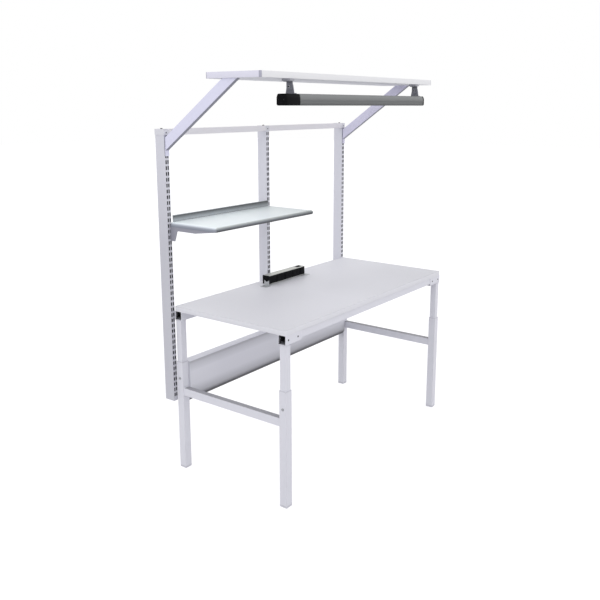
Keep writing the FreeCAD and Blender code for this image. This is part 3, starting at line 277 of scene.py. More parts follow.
def opalSheet(name, look):
    # Opal polycarbonate: milky, light soaks in and the surface keeps a weak satin sheen.
    material, tree, shader = newMaterial(name, **{
        "IOR": 1.58, "Subsurface Weight": 0.25, "Subsurface Scale": 2 * mm})
    place = addNode(tree, "ShaderNodeTexCoord").outputs["Object"]
    frost = addNode(tree, "ShaderNodeTexNoise", {
        "Vector": place, "Scale": perMetre(look["frostMm"]), "Detail": 3.0})
    tone = toned(tree, frost.outputs[0], look)
    gloss = addNode(tree, "ShaderNodeMapRange", {
        0: frost.outputs[0], 1: 0.3, 2: 0.7, 3: look["smooth"], 4: look["rough"]})
    tree.links.new(tone, shader.inputs["Base Color"])
    tree.links.new(gloss.outputs[0], shader.inputs["Roughness"])
    return material


def circuitBoard(name, look):
    # White solder mask with a row of light-emitting squares along the strip.
    material, tree, shader = newMaterial(name, **{"IOR": 1.5, "Roughness": 0.4})
    place = addNode(tree, "ShaderNodeTexCoord").outputs["Object"]
    squares = addNode(tree, "ShaderNodeTexBrick", {
        "Vector": place, "Color1": hexToLinear(look["chip"]), "Color2": hexToLinear(look["chip"]),
        "Mortar": hexToLinear(look["mask"]), "Scale": 1.0, "Mortar Size": look["gapMm"] * mm,
        "Brick Width": look["pitchMm"] * mm, "Row Height": look["pitchMm"] * mm}, offset=0.0)
    tree.links.new(squares.outputs[0], shader.inputs["Base Color"])
    return material


# the dark tone at the end of these settings is painted shade for hollows inside the tubes
frameCoat = {"shade": "#D6D6DF", "light": "#DCDCE4", "peelMm": 2.2, "cloudMm": 260, "smooth": 0.36,
             "rough": 0.46, "edgeMm": 1.0, "bump": 0.10, "reachMm": 60, "shadeBelowOcclusion": 0.6, "hollowShade": "#2A2A2E"}
# uprights: a near-black painted shade in their hollows and on a rim round each slot
uprightCoat = {**frameCoat, "shade": "#D5D5DF", "light": "#DADAE3", "edgeMm": 0.6, "shadeBelowOcclusion": 0.95,
               "hollowShade": "#060608", "slots": {
                   "uprightsMm": 755, "offsetMm": 6, "widthMm": 4, "heightMm": 17, "pitchMm": 28,
                   "topMm": 1683, "lowestMm": 395, "frontMm": 323.7, "faceMm": 0.2, "sideRimMm": 1.7,
                   "endRimMm": 0.4}}
# painted shade: the left upright darker toward the bottom
leftUprightCoat = {**uprightCoat, "heights": ((362, "#E4E4E4"), (1150, "#E6E6E6"), (1600, "#F8F8F8"))}
railCoat = {**frameCoat, "lengths": (
    (-745, "#404044"), (-744, "#FFFFFF"), (744, "#FFFFFF"), (745, "#404044"))}
# painted light and shade: a bluish tone as from a cool light at the left, darker undersides, and a painted
# shadow where each arm meets its plate at the back
armCoat = {**frameCoat, "shade": "#D9D9EE", "light": "#DFDFF3",
           "facing": ((-0.5, "#A0A0A0"), (-0.3, "#FFFFFF")),
           "depths": ((319.8, "#FFFFFF"), (320.2, "#808088"))}
# painted shade: a darker copy of the arm coat for the right arm
rightArmCoat = {**armCoat, "shade": "#CFCDE3", "light": "#D5D3E8"}
# painted light: a lighter copy of the frame coat for the top rails
topRailCoat = {**frameCoat, "shade": "#DFDDE3", "light": "#E5E3E8"}
# painted shade: crossbar tops darker, as in the worktop's shade; the right one darker still
barCoat = {**frameCoat, "facing": ((0.5, "#FFFFFF"), (0.9, "#B4B4B4"))}
rightBarCoat = {**frameCoat, "facing": ((0.5, "#FFFFFF"), (0.9, "#A6A6A6"))}
# painted shade: the tray darker on its downturned bend, low on its face and in a line under its top fold
trayCoat = {**frameCoat, "shade": "#E6E6EF", "light": "#ECECF4", "facing": (
    (-0.5, "#787878"), (-0.05, "#F2F2F2"), (0.1, "#F2F2F2"), (0.9, "#F8F8F8")), "heights": (
        (350, "#929292"), (374, "#AAAAAA"), (398, "#D4D4D4"), (440, "#F8F8F8"), (510, "#FFFFFF"),
        (550, "#E8E8E8"), (566, "#C8C8C8"), (568.5, "#FFFFFF"))}
# painted shade: a darker copy of the frame coat for the stretcher end plates
plateCoat = {**frameCoat, "shade": "#BEBEC8", "light": "#C4C4CD"}
# painted shade: the shelf's nose, sides and undersides darker by the way they face, darker toward the nose's
# foot and the front edge, a dark line under the lip's fold, the top darker toward the right end, and dark
# hollows
shelfCoat = {**frameCoat, "shade": "#F2FBFF", "light": "#F6FDFF", "smooth": 0.30, "rough": 0.40,
             "facing": ((-0.6, "#707070"), (0.0, "#CACACE"), (0.95, "#FFFFFF")), "heights": (
                 (1262, "#B0B0BA"), (1270, "#CCCCD4"), (1278, "#F4F4F8"), (1282, "#FFFFFF"),
                 (1300, "#ACACAC"), (1310, "#707070"), (1313, "#D8D8D8")),
             "lengths": ((-420, "#FFFFFF"), (-3, "#E3E3E2")),
             "depths": ((8.7, "#B8B8B4"), (14, "#D0D0CC"), (24, "#FFFFFF")), "reachMm": 20}
# painted shade: brackets darker, as in the shade below the shelf
bracketCoat = {**frameCoat, "shade": "#8E8E9A", "light": "#9595A1"}
hangerCoat = {**frameCoat, "shade": "#70717A", "light": "#7A7B84", "edgeMm": 0.5}
shelfLaminate = {"shade": "#E0E0E6", "light": "#E5E5EA", "fleck": "#CFCFD8", "fleckMm": 9, "fleckShare": 0.3,
                 "mottleMm": 14, "smooth": 0.42, "rough": 0.52}
# painted light: the worktop lighter toward the back and the left half, where the shelves above shade it
topLaminate = {**shelfLaminate, "shade": "#E4E4EC", "light": "#E8E8EF", "fleck": "#BDBDC9", "lengths": (
    (-700, "#F9F9F9"), (-300, "#FFFFFF"), (-100, "#FFFFFF"), (100, "#F8F8F8"), (500, "#F0F0F0"),
    (700, "#EFEFEF")), "depths": (
        (-360, "#F2F2F2"), (-250, "#F4F4F4"), (-100, "#F7F7F7"), (50, "#FDFDFD"), (150, "#FFFFFF"))}
blackAbs = {"shade": "#09090B", "light": "#111114", "grainMm": 0.9, "smooth": 0.42, "rough": 0.58,
            "edgeMm": 0.5, "bump": 0.12, "sheen": 0.06}
greyAbs = {**blackAbs, "shade": "#C4C4CD", "light": "#CECED6", "sheen": 0.5}
paleAbs = {**greyAbs, "shade": "#D2D2DA", "light": "#DADAE1"}
edgeAbs = {**greyAbs, "shade": "#D8D8DF", "light": "#DDDDE3", "grainMm": 1.4, "bump": 0.05}
# painted light: the shelf band's two ends bluish
shelfEdgeAbs = {**edgeAbs, "shade": "#E2E2E8", "light": "#E8E8ED", "ends": (
    (-0.8, "#F6F5FF"), (-0.6, "#FFFFFC"), (0.6, "#FFFFFC"), (0.8, "#F6F5FF"))}
padAbs = {**greyAbs, "shade": "#9C9CA4", "light": "#A4A4AC"}
cornerAbs = {**greyAbs, "shade": "#A2A2B2", "light": "#ABABBA", "bump": 0.06}
zincPlate = {"shade": "#A6A8AC", "light": "#CCCED0", "patchMm": 1.6, "smooth": 0.26, "rough": 0.44,
             "metallic": 0.8}
blackOxide = {"shade": "#17171A", "light": "#2B2B2F", "patchMm": 1.4, "smooth": 0.32, "rough": 0.5,
              "metallic": 0.6}
satinStrip = {"shade": "#B9BBB6", "light": "#D4D5D0", "lineLengthMm": 60, "lineMm": 0.7, "smooth": 0.28,
              "rough": 0.4, "metallic": 0.85, "edgeMm": 0.6}
# painted shade: the lamp's face darker toward its bottom edge, with a dark line along it
greyLamp = {"shade": "#868889", "light": "#8C8E8F", "lineLengthMm": 90, "lineMm": 0.5, "smooth": 0.40,
            "rough": 0.48, "metallic": 0.35, "edgeMm": 12, "heights": (
                (1835, "#707070"), (1838, "#B8B8B8"), (1850, "#CACACA"), (1875, "#EEEEEE"),
                (1887, "#FFFFFF"))}
opal = {"shade": "#DCDCD8", "light": "#EAEAE6", "frostMm": 3, "smooth": 0.4, "rough": 0.55}
ledBoard = {"mask": "#E6E6E0", "chip": "#D9C04A", "pitchMm": 12, "gapMm": 4.5}

finishes = {
    "frame_steel": powderCoat("powderCoatedSteel", frameCoat),
    "shelf_steel": powderCoat("powderCoatedShelfSteel", shelfCoat),
    "grey_steel": powderCoat("powderCoatedGreySteel", hangerCoat),
    "laminate": laminate("dissipativeLaminate", topLaminate),
    "shelf_board": laminate("shelfLaminate", shelfLaminate),
    "foot_plastic": mouldedPlastic("greyPolyamide", greyAbs),
    "dark_plastic": mouldedPlastic("bushPolyamide", greyAbs),
    "cap_plastic": mouldedPlastic("paleAbs", paleAbs),
    "black_plastic": mouldedPlastic("blackAbs", blackAbs),
    "zinc_steel": platedSteel("zincPlatedSteel", zincPlate),
    "black_steel": platedSteel("blackOxideSteel", blackOxide),
    "strip_aluminium": anodisedAluminium("anodisedAluminium", satinStrip),
    "lamp_aluminium": anodisedAluminium("greyAnodisedAluminium", greyLamp),
    "opal_diffuser": opalSheet("opalPolycarbonate", opal),
    "circuit_board": circuitBoard("whiteCircuitBoard", ledBoard),
}
edgeBandAbs = mouldedPlastic("edgeBandAbs", edgeAbs)
shelfBandAbs = mouldedPlastic("shelfBandAbs", shelfEdgeAbs)
cornerStripAbs = mouldedPlastic("cornerAbs", cornerAbs)
hangerPadAbs = mouldedPlastic("padAbs", padAbs)
uprightSteel = powderCoat("powderCoatedUprightSteel", uprightCoat)
leftUprightSteel = powderCoat("powderCoatedLeftUprightSteel", leftUprightCoat)
armSteel = powderCoat("powderCoatedArmSteel", armCoat)
rightArmSteel = powderCoat("powderCoatedRightArmSteel", rightArmCoat)
topRailSteel = powderCoat("powderCoatedTopRailSteel", topRailCoat)
rightBarSteel = powderCoat("powderCoatedRightBarSteel", rightBarCoat)
bracketSteel = powderCoat("powderCoatedBracketSteel", bracketCoat)
barSteel = powderCoat("powderCoatedBarSteel", barCoat)
railSteel = powderCoat("powderCoatedRailSteel", railCoat)
traySteel = powderCoat("powderCoatedTraySteel", trayCoat)
plateSteel = powderCoat("powderCoatedPlateSteel", plateCoat)

# nodes in lighter or darker copies of their slot's coat: most carry painted light or shade for where they sit
batches = {"upright_left": leftUprightSteel, "upright_middle": uprightSteel, "upright_right": uprightSteel,
           "arm_left": armSteel, "arm_right": rightArmSteel,
           "top_rail_left": topRailSteel, "top_rail_right": topRailSteel,
           "shelf_bracket_left": bracketSteel, "shelf_bracket_right": bracketSteel,
           "crossbar_left": barSteel, "crossbar_right": rightBarSteel,
           "front_rail": railSteel, "rear_rail": railSteel, "lamp_hanger_pads": hangerPadAbs,
           "rear_stretcher": traySteel, "stretcher_end_plates": plateSteel}
for part in frame["record"]["subparts"]:
    piece = nodes[part["node"]]
    if not piece.material_slots:
        piece.data.materials.append(None)
    for holder in piece.material_slots:
        holder.material = batches.get(part["node"], finishes[part["material_slot"]])
print("materials:", len(finishes), "by slot,", len(batches), "nodes with another tone")


# shapes as arrays

def quadsOf(points, closeRows, closeColumns, first):
    # neighbouring points of a rows x columns grid make quads; a closed grid joins its ends
    rows, columns = points.shape[:2]
    index = first + np.arange(rows * columns).reshape(rows, columns)
    if closeRows:
        index = np.vstack([index, index[:1]])
    if closeColumns:
        index = np.hstack([index, index[:, :1]])
    around = [index[:-1, :-1], index[:-1, 1:], index[1:, 1:], index[1:, :-1]]
    return np.stack(around, axis=-1).reshape(-1, 4)


def addPiece(name, grids, material, body, sharp=35):
    # one object from several grids: each is (points, closeRows, closeColumns)
    points = np.concatenate([grid[0].reshape(-1, 3) for grid in grids])
    starts = np.cumsum([0] + [grid[0].shape[0] * grid[0].shape[1] for grid in grids])
    quads = np.concatenate([quadsOf(*grid, first) for grid, first in zip(grids, starts)])
    mesh = bpy.data.meshes.new(name)
    mesh.from_pydata(points.tolist(), [], quads.tolist())
    work = bmesh.new()
    work.from_mesh(mesh)
    bmesh.ops.remove_doubles(work, verts=work.verts, dist=1e-6)  # closes the poles
    bmesh.ops.recalc_face_normals(work, faces=work.faces)
    work.to_mesh(mesh)
    work.free()
    mesh.shade_smooth()
    mesh.set_sharp_from_angle(angle=math.radians(sharp))
    mesh.materials.append(material)
    piece = bpy.data.objects.new(name, mesh)
    bpy.context.scene.collection.objects.link(piece)
    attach(piece, body)
    return piece


def solidBoxes(node):
    # lowest and highest corners of each separate solid of a CAD node, from a merged copy of its mesh
    work = bmesh.new()
    work.from_mesh(nodes[node].data)
    bmesh.ops.remove_doubles(work, verts=work.verts, dist=1e-6)
    left = set(work.verts)
    boxes = []
    while left:
        waiting = [left.pop()]
        found = []
        while waiting:
            corner = waiting.pop()
            found.append(tuple(corner.co))
            near = {edge.other_vert(corner) for edge in corner.link_edges} & left
            left -= near
            waiting.extend(near)
        boxes.append((np.min(found, axis=0), np.max(found, axis=0)))
    work.free()
    return sorted(boxes, key=lambda box: tuple(box[0]))  # by lowest corner: the same order each run


def crossAxes(axis):
    # two unit vectors square to the axis
    axis = np.asarray(axis, float)
    helper = np.array([0.0, 0.0, 1.0]) if abs(axis[2]) < 0.9 else np.array([1.0, 0.0, 0.0])
    first = np.cross(helper, axis)
    first /= np.linalg.norm(first)
    return first, np.cross(axis, first)


def hexWave(turn):
    # how far a circle is drawn in to the flats of a hexagon
    wedge = math.pi / 3
    return math.cos(wedge / 2) / np.cos(turn % wedge - wedge / 2) - 1


def lobeWave(turn):
    return 0.06 * (np.cos(9 * turn) - 1)  # nine finger grips


def turned(profile, centre, axis, wave=hexWave, steps=48):
    # a profile of (radius, height, share of the wave) rows turned about an axis through the centre
    radius, height, share = (np.asarray(profile, float) * [mm, mm, 1]).T
    turn = np.linspace(0, 2 * math.pi, steps, endpoint=False)
    first, second = crossAxes(axis)
    reach = radius[:, None] * (1 + share[:, None] * wave(turn)[None, :])
    spoke = np.cos(turn)[:, None] * first + np.sin(turn)[:, None] * second
    points = np.asarray(centre) + height[:, None, None] * np.asarray(axis, float) + reach[..., None] * spoke
    return points, False, True


def roundedLoop(width, depth, radius, steps):
    # a rectangle about 0,0 with quarter circles for corners: its points and their outward directions
    turn = np.linspace(0, math.pi / 2, steps)
    quarters = np.arange(4)[:, None] * math.pi / 2 + turn
    out = np.stack([np.cos(quarters), np.sin(quarters)], axis=-1).reshape(-1, 2)
    signs = np.array([[1, 1], [-1, 1], [-1, -1], [1, -1]], float)
    middles = np.repeat(signs * [width / 2 - radius, depth / 2 - radius], steps, axis=0)
    return middles + radius * out, out


def evenLoop(points, out, count):
    # the same loop with its points evenly spaced along it
    closed = np.vstack([points, points[:1]])
    along = np.concatenate([[0], np.cumsum(np.linalg.norm(np.diff(closed, axis=0), axis=1))])
    wanted = np.linspace(0, along[-1], count, endpoint=False)
    outClosed = np.vstack([out, out[:1]])
    even = np.stack([np.interp(wanted, along, closed[:, k]) for k in (0, 1)], axis=-1)
    evenOut = np.stack([np.interp(wanted, along, outClosed[:, k]) for k in (0, 1)], axis=-1)
    return even, evenOut / np.linalg.norm(evenOut, axis=1, keepdims=True), wanted


def carried(loop, out, centre, axes, profile, scale=None):
    # a profile of (outward, upward) points in metres carried round a flat loop
    first, second, up = (np.asarray(axis, float) for axis in axes)
    path = np.asarray(centre) + loop[:, :1] * first + loop[:, 1:] * second
    outward = out[:, :1] * first + out[:, 1:] * second
    grow = np.ones(len(loop)) if scale is None else scale
    sections = np.asarray(profile, float)[None, :, :] * grow[:, None, None]
    return path[:, None, :] + sections[..., :1] * outward[:, None, :] + sections[..., 1:] * up


xAxis, yAxis, zAxis = np.eye(3)


# board edges

bandLook = {"proudMm": 0.8, "arrisMm": 1.4, "cornerSteps": 10}


def bandProfile(height, look):
    # an upright strip with rounded arrises: its foot and top turn in over the board's edge
    proud = look["proudMm"] * mm
    arris = look["arrisMm"] * mm
    turn = np.linspace(0, math.pi / 2, 5)
    low = np.stack([proud - arris + arris * np.sin(turn), arris - arris * np.cos(turn)], axis=-1)
    high = np.stack([low[::-1, 0], height - low[::-1, 1]], axis=-1)
    inner = np.array([[-arris, height], [-arris, 0.0]])
    return np.concatenate([low, high, inner])


def addEdgeBand(name, board, radiusMm, material):
    low, high = (np.array(corner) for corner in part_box(board))
    size = high - low
    loop, out = roundedLoop(size[0], size[1], radiusMm * mm, bandLook["cornerSteps"])
    centre = [*((low + high) / 2)[:2], low[2]]
    points = carried(loop, out, centre, (xAxis, yAxis, zAxis), bandProfile(size[2], bandLook))
    return addPiece(name, [(points, True, True)], material, "lift")


addEdgeBand("worktopEdgeBand", "worktop", 8, edgeBandAbs)
addEdgeBand("upperShelfEdgeBand", "upper_shelf", 10, shelfBandAbs)

cornerLook = {"radiusMm": 10, "fromDegrees": 10, "steps": 12, "proudMm": 1.2, "arrisMm": 1.6}


def addShelfCorners():
    # moulded corner strips: the band's profile carried round the middle of each quarter circle
    low, high = (np.array(corner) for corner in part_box("upper_shelf"))
    size = high - low
    radius = cornerLook["radiusMm"] * mm
    grids = []
    for quarter, (signX, signY) in enumerate(((1, 1), (-1, 1), (-1, -1), (1, -1))):
        skip = math.radians(cornerLook["fromDegrees"])
        turn = np.linspace(skip, math.pi / 2 - skip, cornerLook["steps"]) + quarter * math.pi / 2
        out = np.stack([np.cos(turn), np.sin(turn)], axis=-1)
        middle = np.array([signX * (size[0] / 2 - radius), signY * (size[1] / 2 - radius)])
        loop = middle + radius * out
        centre = [*((low + high) / 2)[:2], low[2]]
        points = carried(loop, out, centre, (xAxis, yAxis, zAxis), bandProfile(size[2], cornerLook))
        ends = [np.repeat(points[k].mean(axis=0)[None, None], points.shape[1], axis=1) for k in (0, -1)]
        grids.append((np.concatenate([ends[0], points, ends[1]]), False, True))
    piece = addPiece("upperShelfCorners", grids, cornerStripAbs, "lift")


addShelfCorners()
print("board edges done")


# welds

weldLook = {"legMm": 3.0, "rippleMm": 4.0, "rippleShare": 0.08, "pointsPerMm": 1.6, "cornerMm": 1.0,
            "hollow": 1.3, "backMm": 0.2}


def weldGrid(centre, axes, width, depth):
    # a rippled fillet round the foot of a tube: legs of equal length, and a curve between them that the
    # power of sine and cosine draws in from a quarter circle
    loop, out = roundedLoop(width, depth, weldLook["cornerMm"] * mm, 6)
    count = int(2 * (width + depth) / mm * weldLook["pointsPerMm"])
    loop, out, along = evenLoop(loop, out, count)
    turn = np.linspace(0, math.pi / 2, 6)
    leg = weldLook["legMm"] * mm
    hollow = weldLook["hollow"]
    back = -weldLook["backMm"] * mm
    arc = np.stack([leg * np.sin(turn) ** hollow, leg * np.cos(turn) ** hollow], axis=-1)
    profile = np.concatenate([arc, [[back, 0.0], [back, leg]]])
    ripple = 1 + weldLook["rippleShare"] * np.sin(2 * math.pi * along / (weldLook["rippleMm"] * mm))
    return carried(loop, out, centre, axes, profile, ripple), True, True


def addCrossbarWelds():
    grids = []
    for side in ("left", "right"):
        low, high = (np.array(corner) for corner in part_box(f"crossbar_{side}"))
        size = high - low
        middle = (low + high) / 2
        for y, inward in ((low[1], 1), (high[1], -1)):
            centre = [middle[0], y, middle[2]]
            grids.append(weldGrid(centre, (xAxis, zAxis, inward * yAxis), size[0], size[2]))
    addPiece("crossbarWelds", grids, finishes["frame_steel"], "base", 60)


def addHeadWelds():
    grids = []
    for end in ("front", "rear"):
        for side in ("left", "right"):
            low, high = (np.array(corner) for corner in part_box(f"inner_leg_{end}_{side}"))
            size = high - low
            centre = [*((low + high) / 2)[:2], high[2]]
            grids.append(weldGrid(centre, (xAxis, yAxis, -zAxis), size[0], size[1]))
    addPiece("legHeadWelds", grids, finishes["frame_steel"], "lift", 60)


addCrossbarWelds()
addHeadWelds()
print("welds done")


# fasteners: each profile row is radius, height, share of the flats

clampScrew = [(0, -3, 0), (3.8, -3, 0), (3.8, 0, 0), (6.8, 0, 0), (7.0, 0.3, 0), (7.0, 0.9, 0), (6.7, 1.2, 0),
              (5.4, 1.2, 0), (5.3, 1.5, 0), (5.3, 3.6, 0), (4.7, 4.2, 0), (3.0, 4.2, 0), (2.5, 3.9, 1),
              (2.5, 2.2, 1), (0, 1.9, 1)]
sunkScrew = [(0, -3.4, 0), (2.3, -3.4, 0), (2.3, -1.5, 0), (4.4, -1.4, 0), (4.5, 0.1, 0), (4.2, 0.35, 0),
             (2.5, 0.35, 0), (2.2, 0.15, 1), (2.2, -1.0, 1), (0, -1.2, 1)]
hexBolt = [(0, -4, 0), (3.0, -4, 0), (3.0, 0, 0), (7.6, 0, 0), (7.8, 0.2, 0), (7.8, 1.0, 0), (7.4, 1.3, 0),
           (6.2, 1.3, 1), (6.35, 1.5, 1), (6.35, 4.2, 1), (5.5, 4.9, 0.2), (0, 5.1, 0)]
capBolt = [(0, -4, 0), (3.0, -4, 0), (3.0, 0, 0), (5.9, 0, 0), (6.0, 0.3, 0), (5.8, 1.0, 1), (5.5, 2.9, 1),
           (4.6, 3.5, 0.2), (0, 3.7, 0)]
panScrew = [(0, -1, 0), (1.8, -1, 0), (1.8, 0, 0), (4.0, 0, 0), (4.2, 0.4, 0), (4.0, 1.4, 0), (3.2, 2.1, 0),
            (2.0, 2.4, 0), (1.7, 2.2, 1), (1.6, 1.0, 1), (0, 0.8, 1)]
smallScrew = [(0, -0.8, 0), (1.4, -0.8, 0), (1.4, 0, 0), (2.9, 0, 0), (3.1, 0.3, 0), (2.8, 1.2, 0),
              (1.6, 1.6, 0), (1.3, 1.4, 1), (1.2, 0.6, 1), (0, 0.5, 1)]


def addClampScrews():
    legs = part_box("leg_tube_front_left")[0][0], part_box("leg_tube_front_right")[1][0]
    grids = []
    for low, high in solidBoxes("leg_clamp_screws"):
        middle = (low + high) / 2
        side = 1 if middle[0] > 0 else -1
        face = legs[1] if side > 0 else legs[0]
        grids.append(turned(clampScrew, [face, *middle[1:]], side * xAxis))
    piece = addPiece("clampScrews", grids, finishes["zinc_steel"], "base")
    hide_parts("leg_clamp_screws")


def addHeadBolts():
    grids = []
    for low, high in solidBoxes("leg_head_bolts"):
        side = 1 if low[1] > 0 else -1
        middle = (low + high) / 2
        face = high[1] if side > 0 else low[1]
        grids.append(turned(sunkScrew, [middle[0], face, middle[2]], side * yAxis, steps=36))
    piece = addPiece("legHeadScrews", grids, finishes["black_steel"], "lift")
    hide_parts("leg_head_bolts")


capLook = {"frontScrewDownMm": 17}


def addCapBolts():
    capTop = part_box("upright_caps")[1][2]
    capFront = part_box("upright_caps")[0][1]
    screwHeight = capTop - capLook["frontScrewDownMm"] * mm
    bolts = []
    screws = []
    for low, high in solidBoxes("cap_bolts"):
        middle = (low + high) / 2
        bolts.append(turned(capBolt, [middle[0], middle[1], capTop], zAxis))
        screws.append(turned(smallScrew, [middle[0], capFront, screwHeight], -yAxis, steps=30))
    piece = addPiece("capBolts", bolts, finishes["black_steel"], "lift")
    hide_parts("cap_bolts")
    addPiece("capFrontScrews", screws, finishes["black_steel"], "lift")


def addStretcherBolts():
    grids = []
    plates = solidBoxes("stretcher_end_plates")
    leftFace = max(high[0] for low, high in plates if high[0] < 0)
    rightFace = min(low[0] for low, high in plates if low[0] > 0)
    for low, high in solidBoxes("stretcher_bolts"):
        middle = (low + high) / 2
        side = 1 if middle[0] > 0 else -1
        face = rightFace if side > 0 else leftFace
        grids.append(turned(hexBolt, [face, *middle[1:]], -side * xAxis))
    piece = addPiece("stretcherBolts", grids, finishes["zinc_steel"], "base")
    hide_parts("stretcher_bolts")


addClampScrews()
addHeadBolts()
addCapBolts()
addStretcherBolts()
print("fasteners done")


# socket strip

outletLook = {"count": 4, "pitchMm": 72, "pinMm": 9.5, "clipMm": 15.0, "recessMm": 1.5}
clipLook = {"widthMm": 4.4, "lengthMm": 5.0, "bowMm": 1.3, "sheetMm": 0.5}
footLook = {"screwOutMm": 3, "sheetMm": 2}
outletRim = [(18.9, -1.4, 0), (19.0, 0.0, 0), (19.3, 0.7, 0), (20.4, 0.8, 0), (21.0, 0.4, 0), (21.0, -0.3, 0),
             (18.9, -1.4, 0)]
pinBush = [(1.8, -2.5, 0), (1.8, -0.2, 0), (2.2, 0.25, 0), (3.0, 0.25, 0), (3.3, -0.1, 0), (3.3, -2.5, 0),
           (1.8, -2.5, 0)]


def outletMiddles():
    low, high = (np.array(corner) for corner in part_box("strip_fascia"))
    middle = (low + high) / 2
    reach = (np.arange(outletLook["count"]) - (outletLook["count"] - 1) / 2) * outletLook["pitchMm"] * mm
    return [np.array([middle[0] + step, low[1], middle[2]]) for step in reach]


def earthClip(middle, way):
    # a bowed spring strip: wide across, low at both ends and highest in the middle
    length = clipLook["lengthMm"] * mm
    across = np.linspace(-0.5, 0.5, 5) * clipLook["widthMm"] * mm
    along = np.linspace(-0.5, 0.5, 9) * length
    bow = clipLook["bowMm"] * mm * np.cos(along / length * math.pi)
    floor = middle[1] + outletLook["recessMm"] * mm
    points = np.empty((2, len(along), len(across), 3))
    for layer, lift in enumerate((0.0, clipLook["sheetMm"] * mm)):
        points[layer, ..., 0] = middle[0] + across[None, :]
        points[layer, ..., 1] = (floor - bow - lift)[:, None]
        points[layer, ..., 2] = (middle[2] + way * (outletLook["clipMm"] * mm) + along)[:, None]
    ring = np.concatenate([points[0], points[1][:, ::-1]], axis=1)
    ends = [np.repeat(ring[k].mean(axis=0)[None, None], ring.shape[1], axis=1) for k in (0, -1)]
    return np.concatenate([ends[0], ring, ends[1]]), False, True


def addOutlets():
    rims, bushes, clips = [], [], []
    for middle in outletMiddles():
        rims.append(turned(outletRim, middle, -yAxis, steps=64))
        for way in (-1, 1):
            pin = middle + [way * outletLook["pinMm"] * mm, outletLook["recessMm"] * mm, 0]
            bushes.append(turned(pinBush, pin, -yAxis, steps=24))
            clips.append(earthClip(middle, way))
    addPiece("outletRims", rims, finishes["black_plastic"], "lift")
    addPiece("outletPinBushes", bushes, finishes["black_plastic"], "lift")
    addPiece("outletEarthClips", clips, finishes["black_steel"], "lift")


def addFootScrews():
    grids = []
    for side in ("left", "right"):
        low, high = (np.array(corner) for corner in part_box(f"strip_foot_{side}"))
        out = -1 if side == "left" else 1
        middle = (low + high) / 2
        seat = [middle[0] + out * footLook["screwOutMm"] * mm, middle[1], low[2] + footLook["sheetMm"] * mm]
        grids.append(turned(panScrew, seat, zAxis))
    addPiece("stripFootScrews", grids, finishes["zinc_steel"], "lift")


addOutlets()
addFootScrews()
print("socket strip done")


# lamp

lampEndLook = {"crownMm": 48, "shoulderMm": 16, "cornerMm": 8, "leastBendMm": 0.2, "steps": 7}


def softLoop(corners, radius, inset, steps):
    # a convex outline drawn in by the inset: each corner is an arc from one side's outward way to the
    # next
    along = np.roll(corners, -1, axis=0) - corners
    out = np.stack([along[:, 1], -along[:, 0]], axis=-1) / np.linalg.norm(along, axis=1, keepdims=True)
    reach = np.sum(corners * out, axis=1)
    bend = max(radius - inset, lampEndLook["leastBendMm"] * mm)
    arcs = []
    for side in range(len(corners)):
        pair = [side - 1, side]
        middle = np.linalg.solve(out[pair], reach[pair] - inset - bend)
        first, last = np.unwrap(np.arctan2(out[pair, 1], out[pair, 0]))
        turn = np.linspace(first, last, steps)
        arcs.append(middle + bend * np.stack([np.cos(turn), np.sin(turn)], axis=-1))
    return np.concatenate(arcs)


def addLampEnd(name, node, roundings):
    # the lamp's outline carried along X and drawn in along a quarter circle at both ends
    low, high = (np.array(corner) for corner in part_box(node))
    half = (high[1] - low[1]) / 2
    crown = lampEndLook["crownMm"] * mm / 2
    shoulder = high[2] - lampEndLook["shoulderMm"] * mm
    corners = np.array([[-half, low[2]], [half, low[2]], [half, shoulder], [crown, high[2]],
                        [-crown, high[2]], [-half, shoulder]])
    turn = np.linspace(0, math.pi / 2, lampEndLook["steps"])
    first, last = (size * mm for size in roundings)
    inward = 1 - np.cos(turn)
    drawnIn = 1 - np.sin(turn)
    places = np.concatenate([low[0] + first * inward, (high[0] - last * inward)[::-1]])
    insets = np.concatenate([first * drawnIn, (last * drawnIn)[::-1]])
    rows = []
    for x, inset in zip(places, insets):
        loop = softLoop(corners, lampEndLook["cornerMm"] * mm, inset, lampEndLook["steps"])
        across = (low[1] + high[1]) / 2 + loop[:, 0]
        rows.append(np.column_stack([np.full(len(loop), x), across, loop[:, 1]]))
    grid = np.array(rows)
    poles = [np.repeat(grid[k].mean(axis=0)[None, None], grid.shape[1], axis=1) for k in (0, -1)]
    piece = addPiece(name, [(np.concatenate([poles[0], grid, poles[1]]), False, True)],
                     finishes["black_plastic"], "lamp")
    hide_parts(node)


knobRows = [(0, -14, 0), (2.9, -14, 0), (2.9, 0, 0), (5.0, 0, 0), (7.4, 0.2, 0.6), (8.0, 1.2, 1),
            (8.2, 5, 1), (8.0, 8.6, 1), (7.2, 9.8, 0.8), (4.6, 10.2, 0), (4.2, 9.6, 0), (0, 9.4, 0)]
nutRows = [(3.0, 0, 1), (5.4, 0, 1), (5.5, 0.3, 1), (5.5, 4.2, 1), (5.0, 4.9, 0.3), (3.2, 5.0, 0),
           (3.0, 0, 1)]
pivotLook = {"knobMm": 10, "nutMm": 5, "knobSteps": 72}


def addLampKnobs():
    knobs, nuts = [], []
    for low, high in solidBoxes("lamp_pivot_screws"):
        middle = (low + high) / 2
        knobSeat = [high[0] - pivotLook["knobMm"] * mm, *middle[1:]]
        nutSeat = [low[0] + pivotLook["nutMm"] * mm, *middle[1:]]
        knobs.append(turned(knobRows, knobSeat, xAxis, lobeWave, pivotLook["knobSteps"]))
        nuts.append(turned(nutRows, nutSeat, -xAxis))
    piece = addPiece("lampKnobs", knobs, finishes["black_plastic"], "lift")
    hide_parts("lamp_pivot_screws")
    addPiece("lampPivotNuts", nuts, finishes["zinc_steel"], "lift")


endScrewLook = {"asideMm": 15}


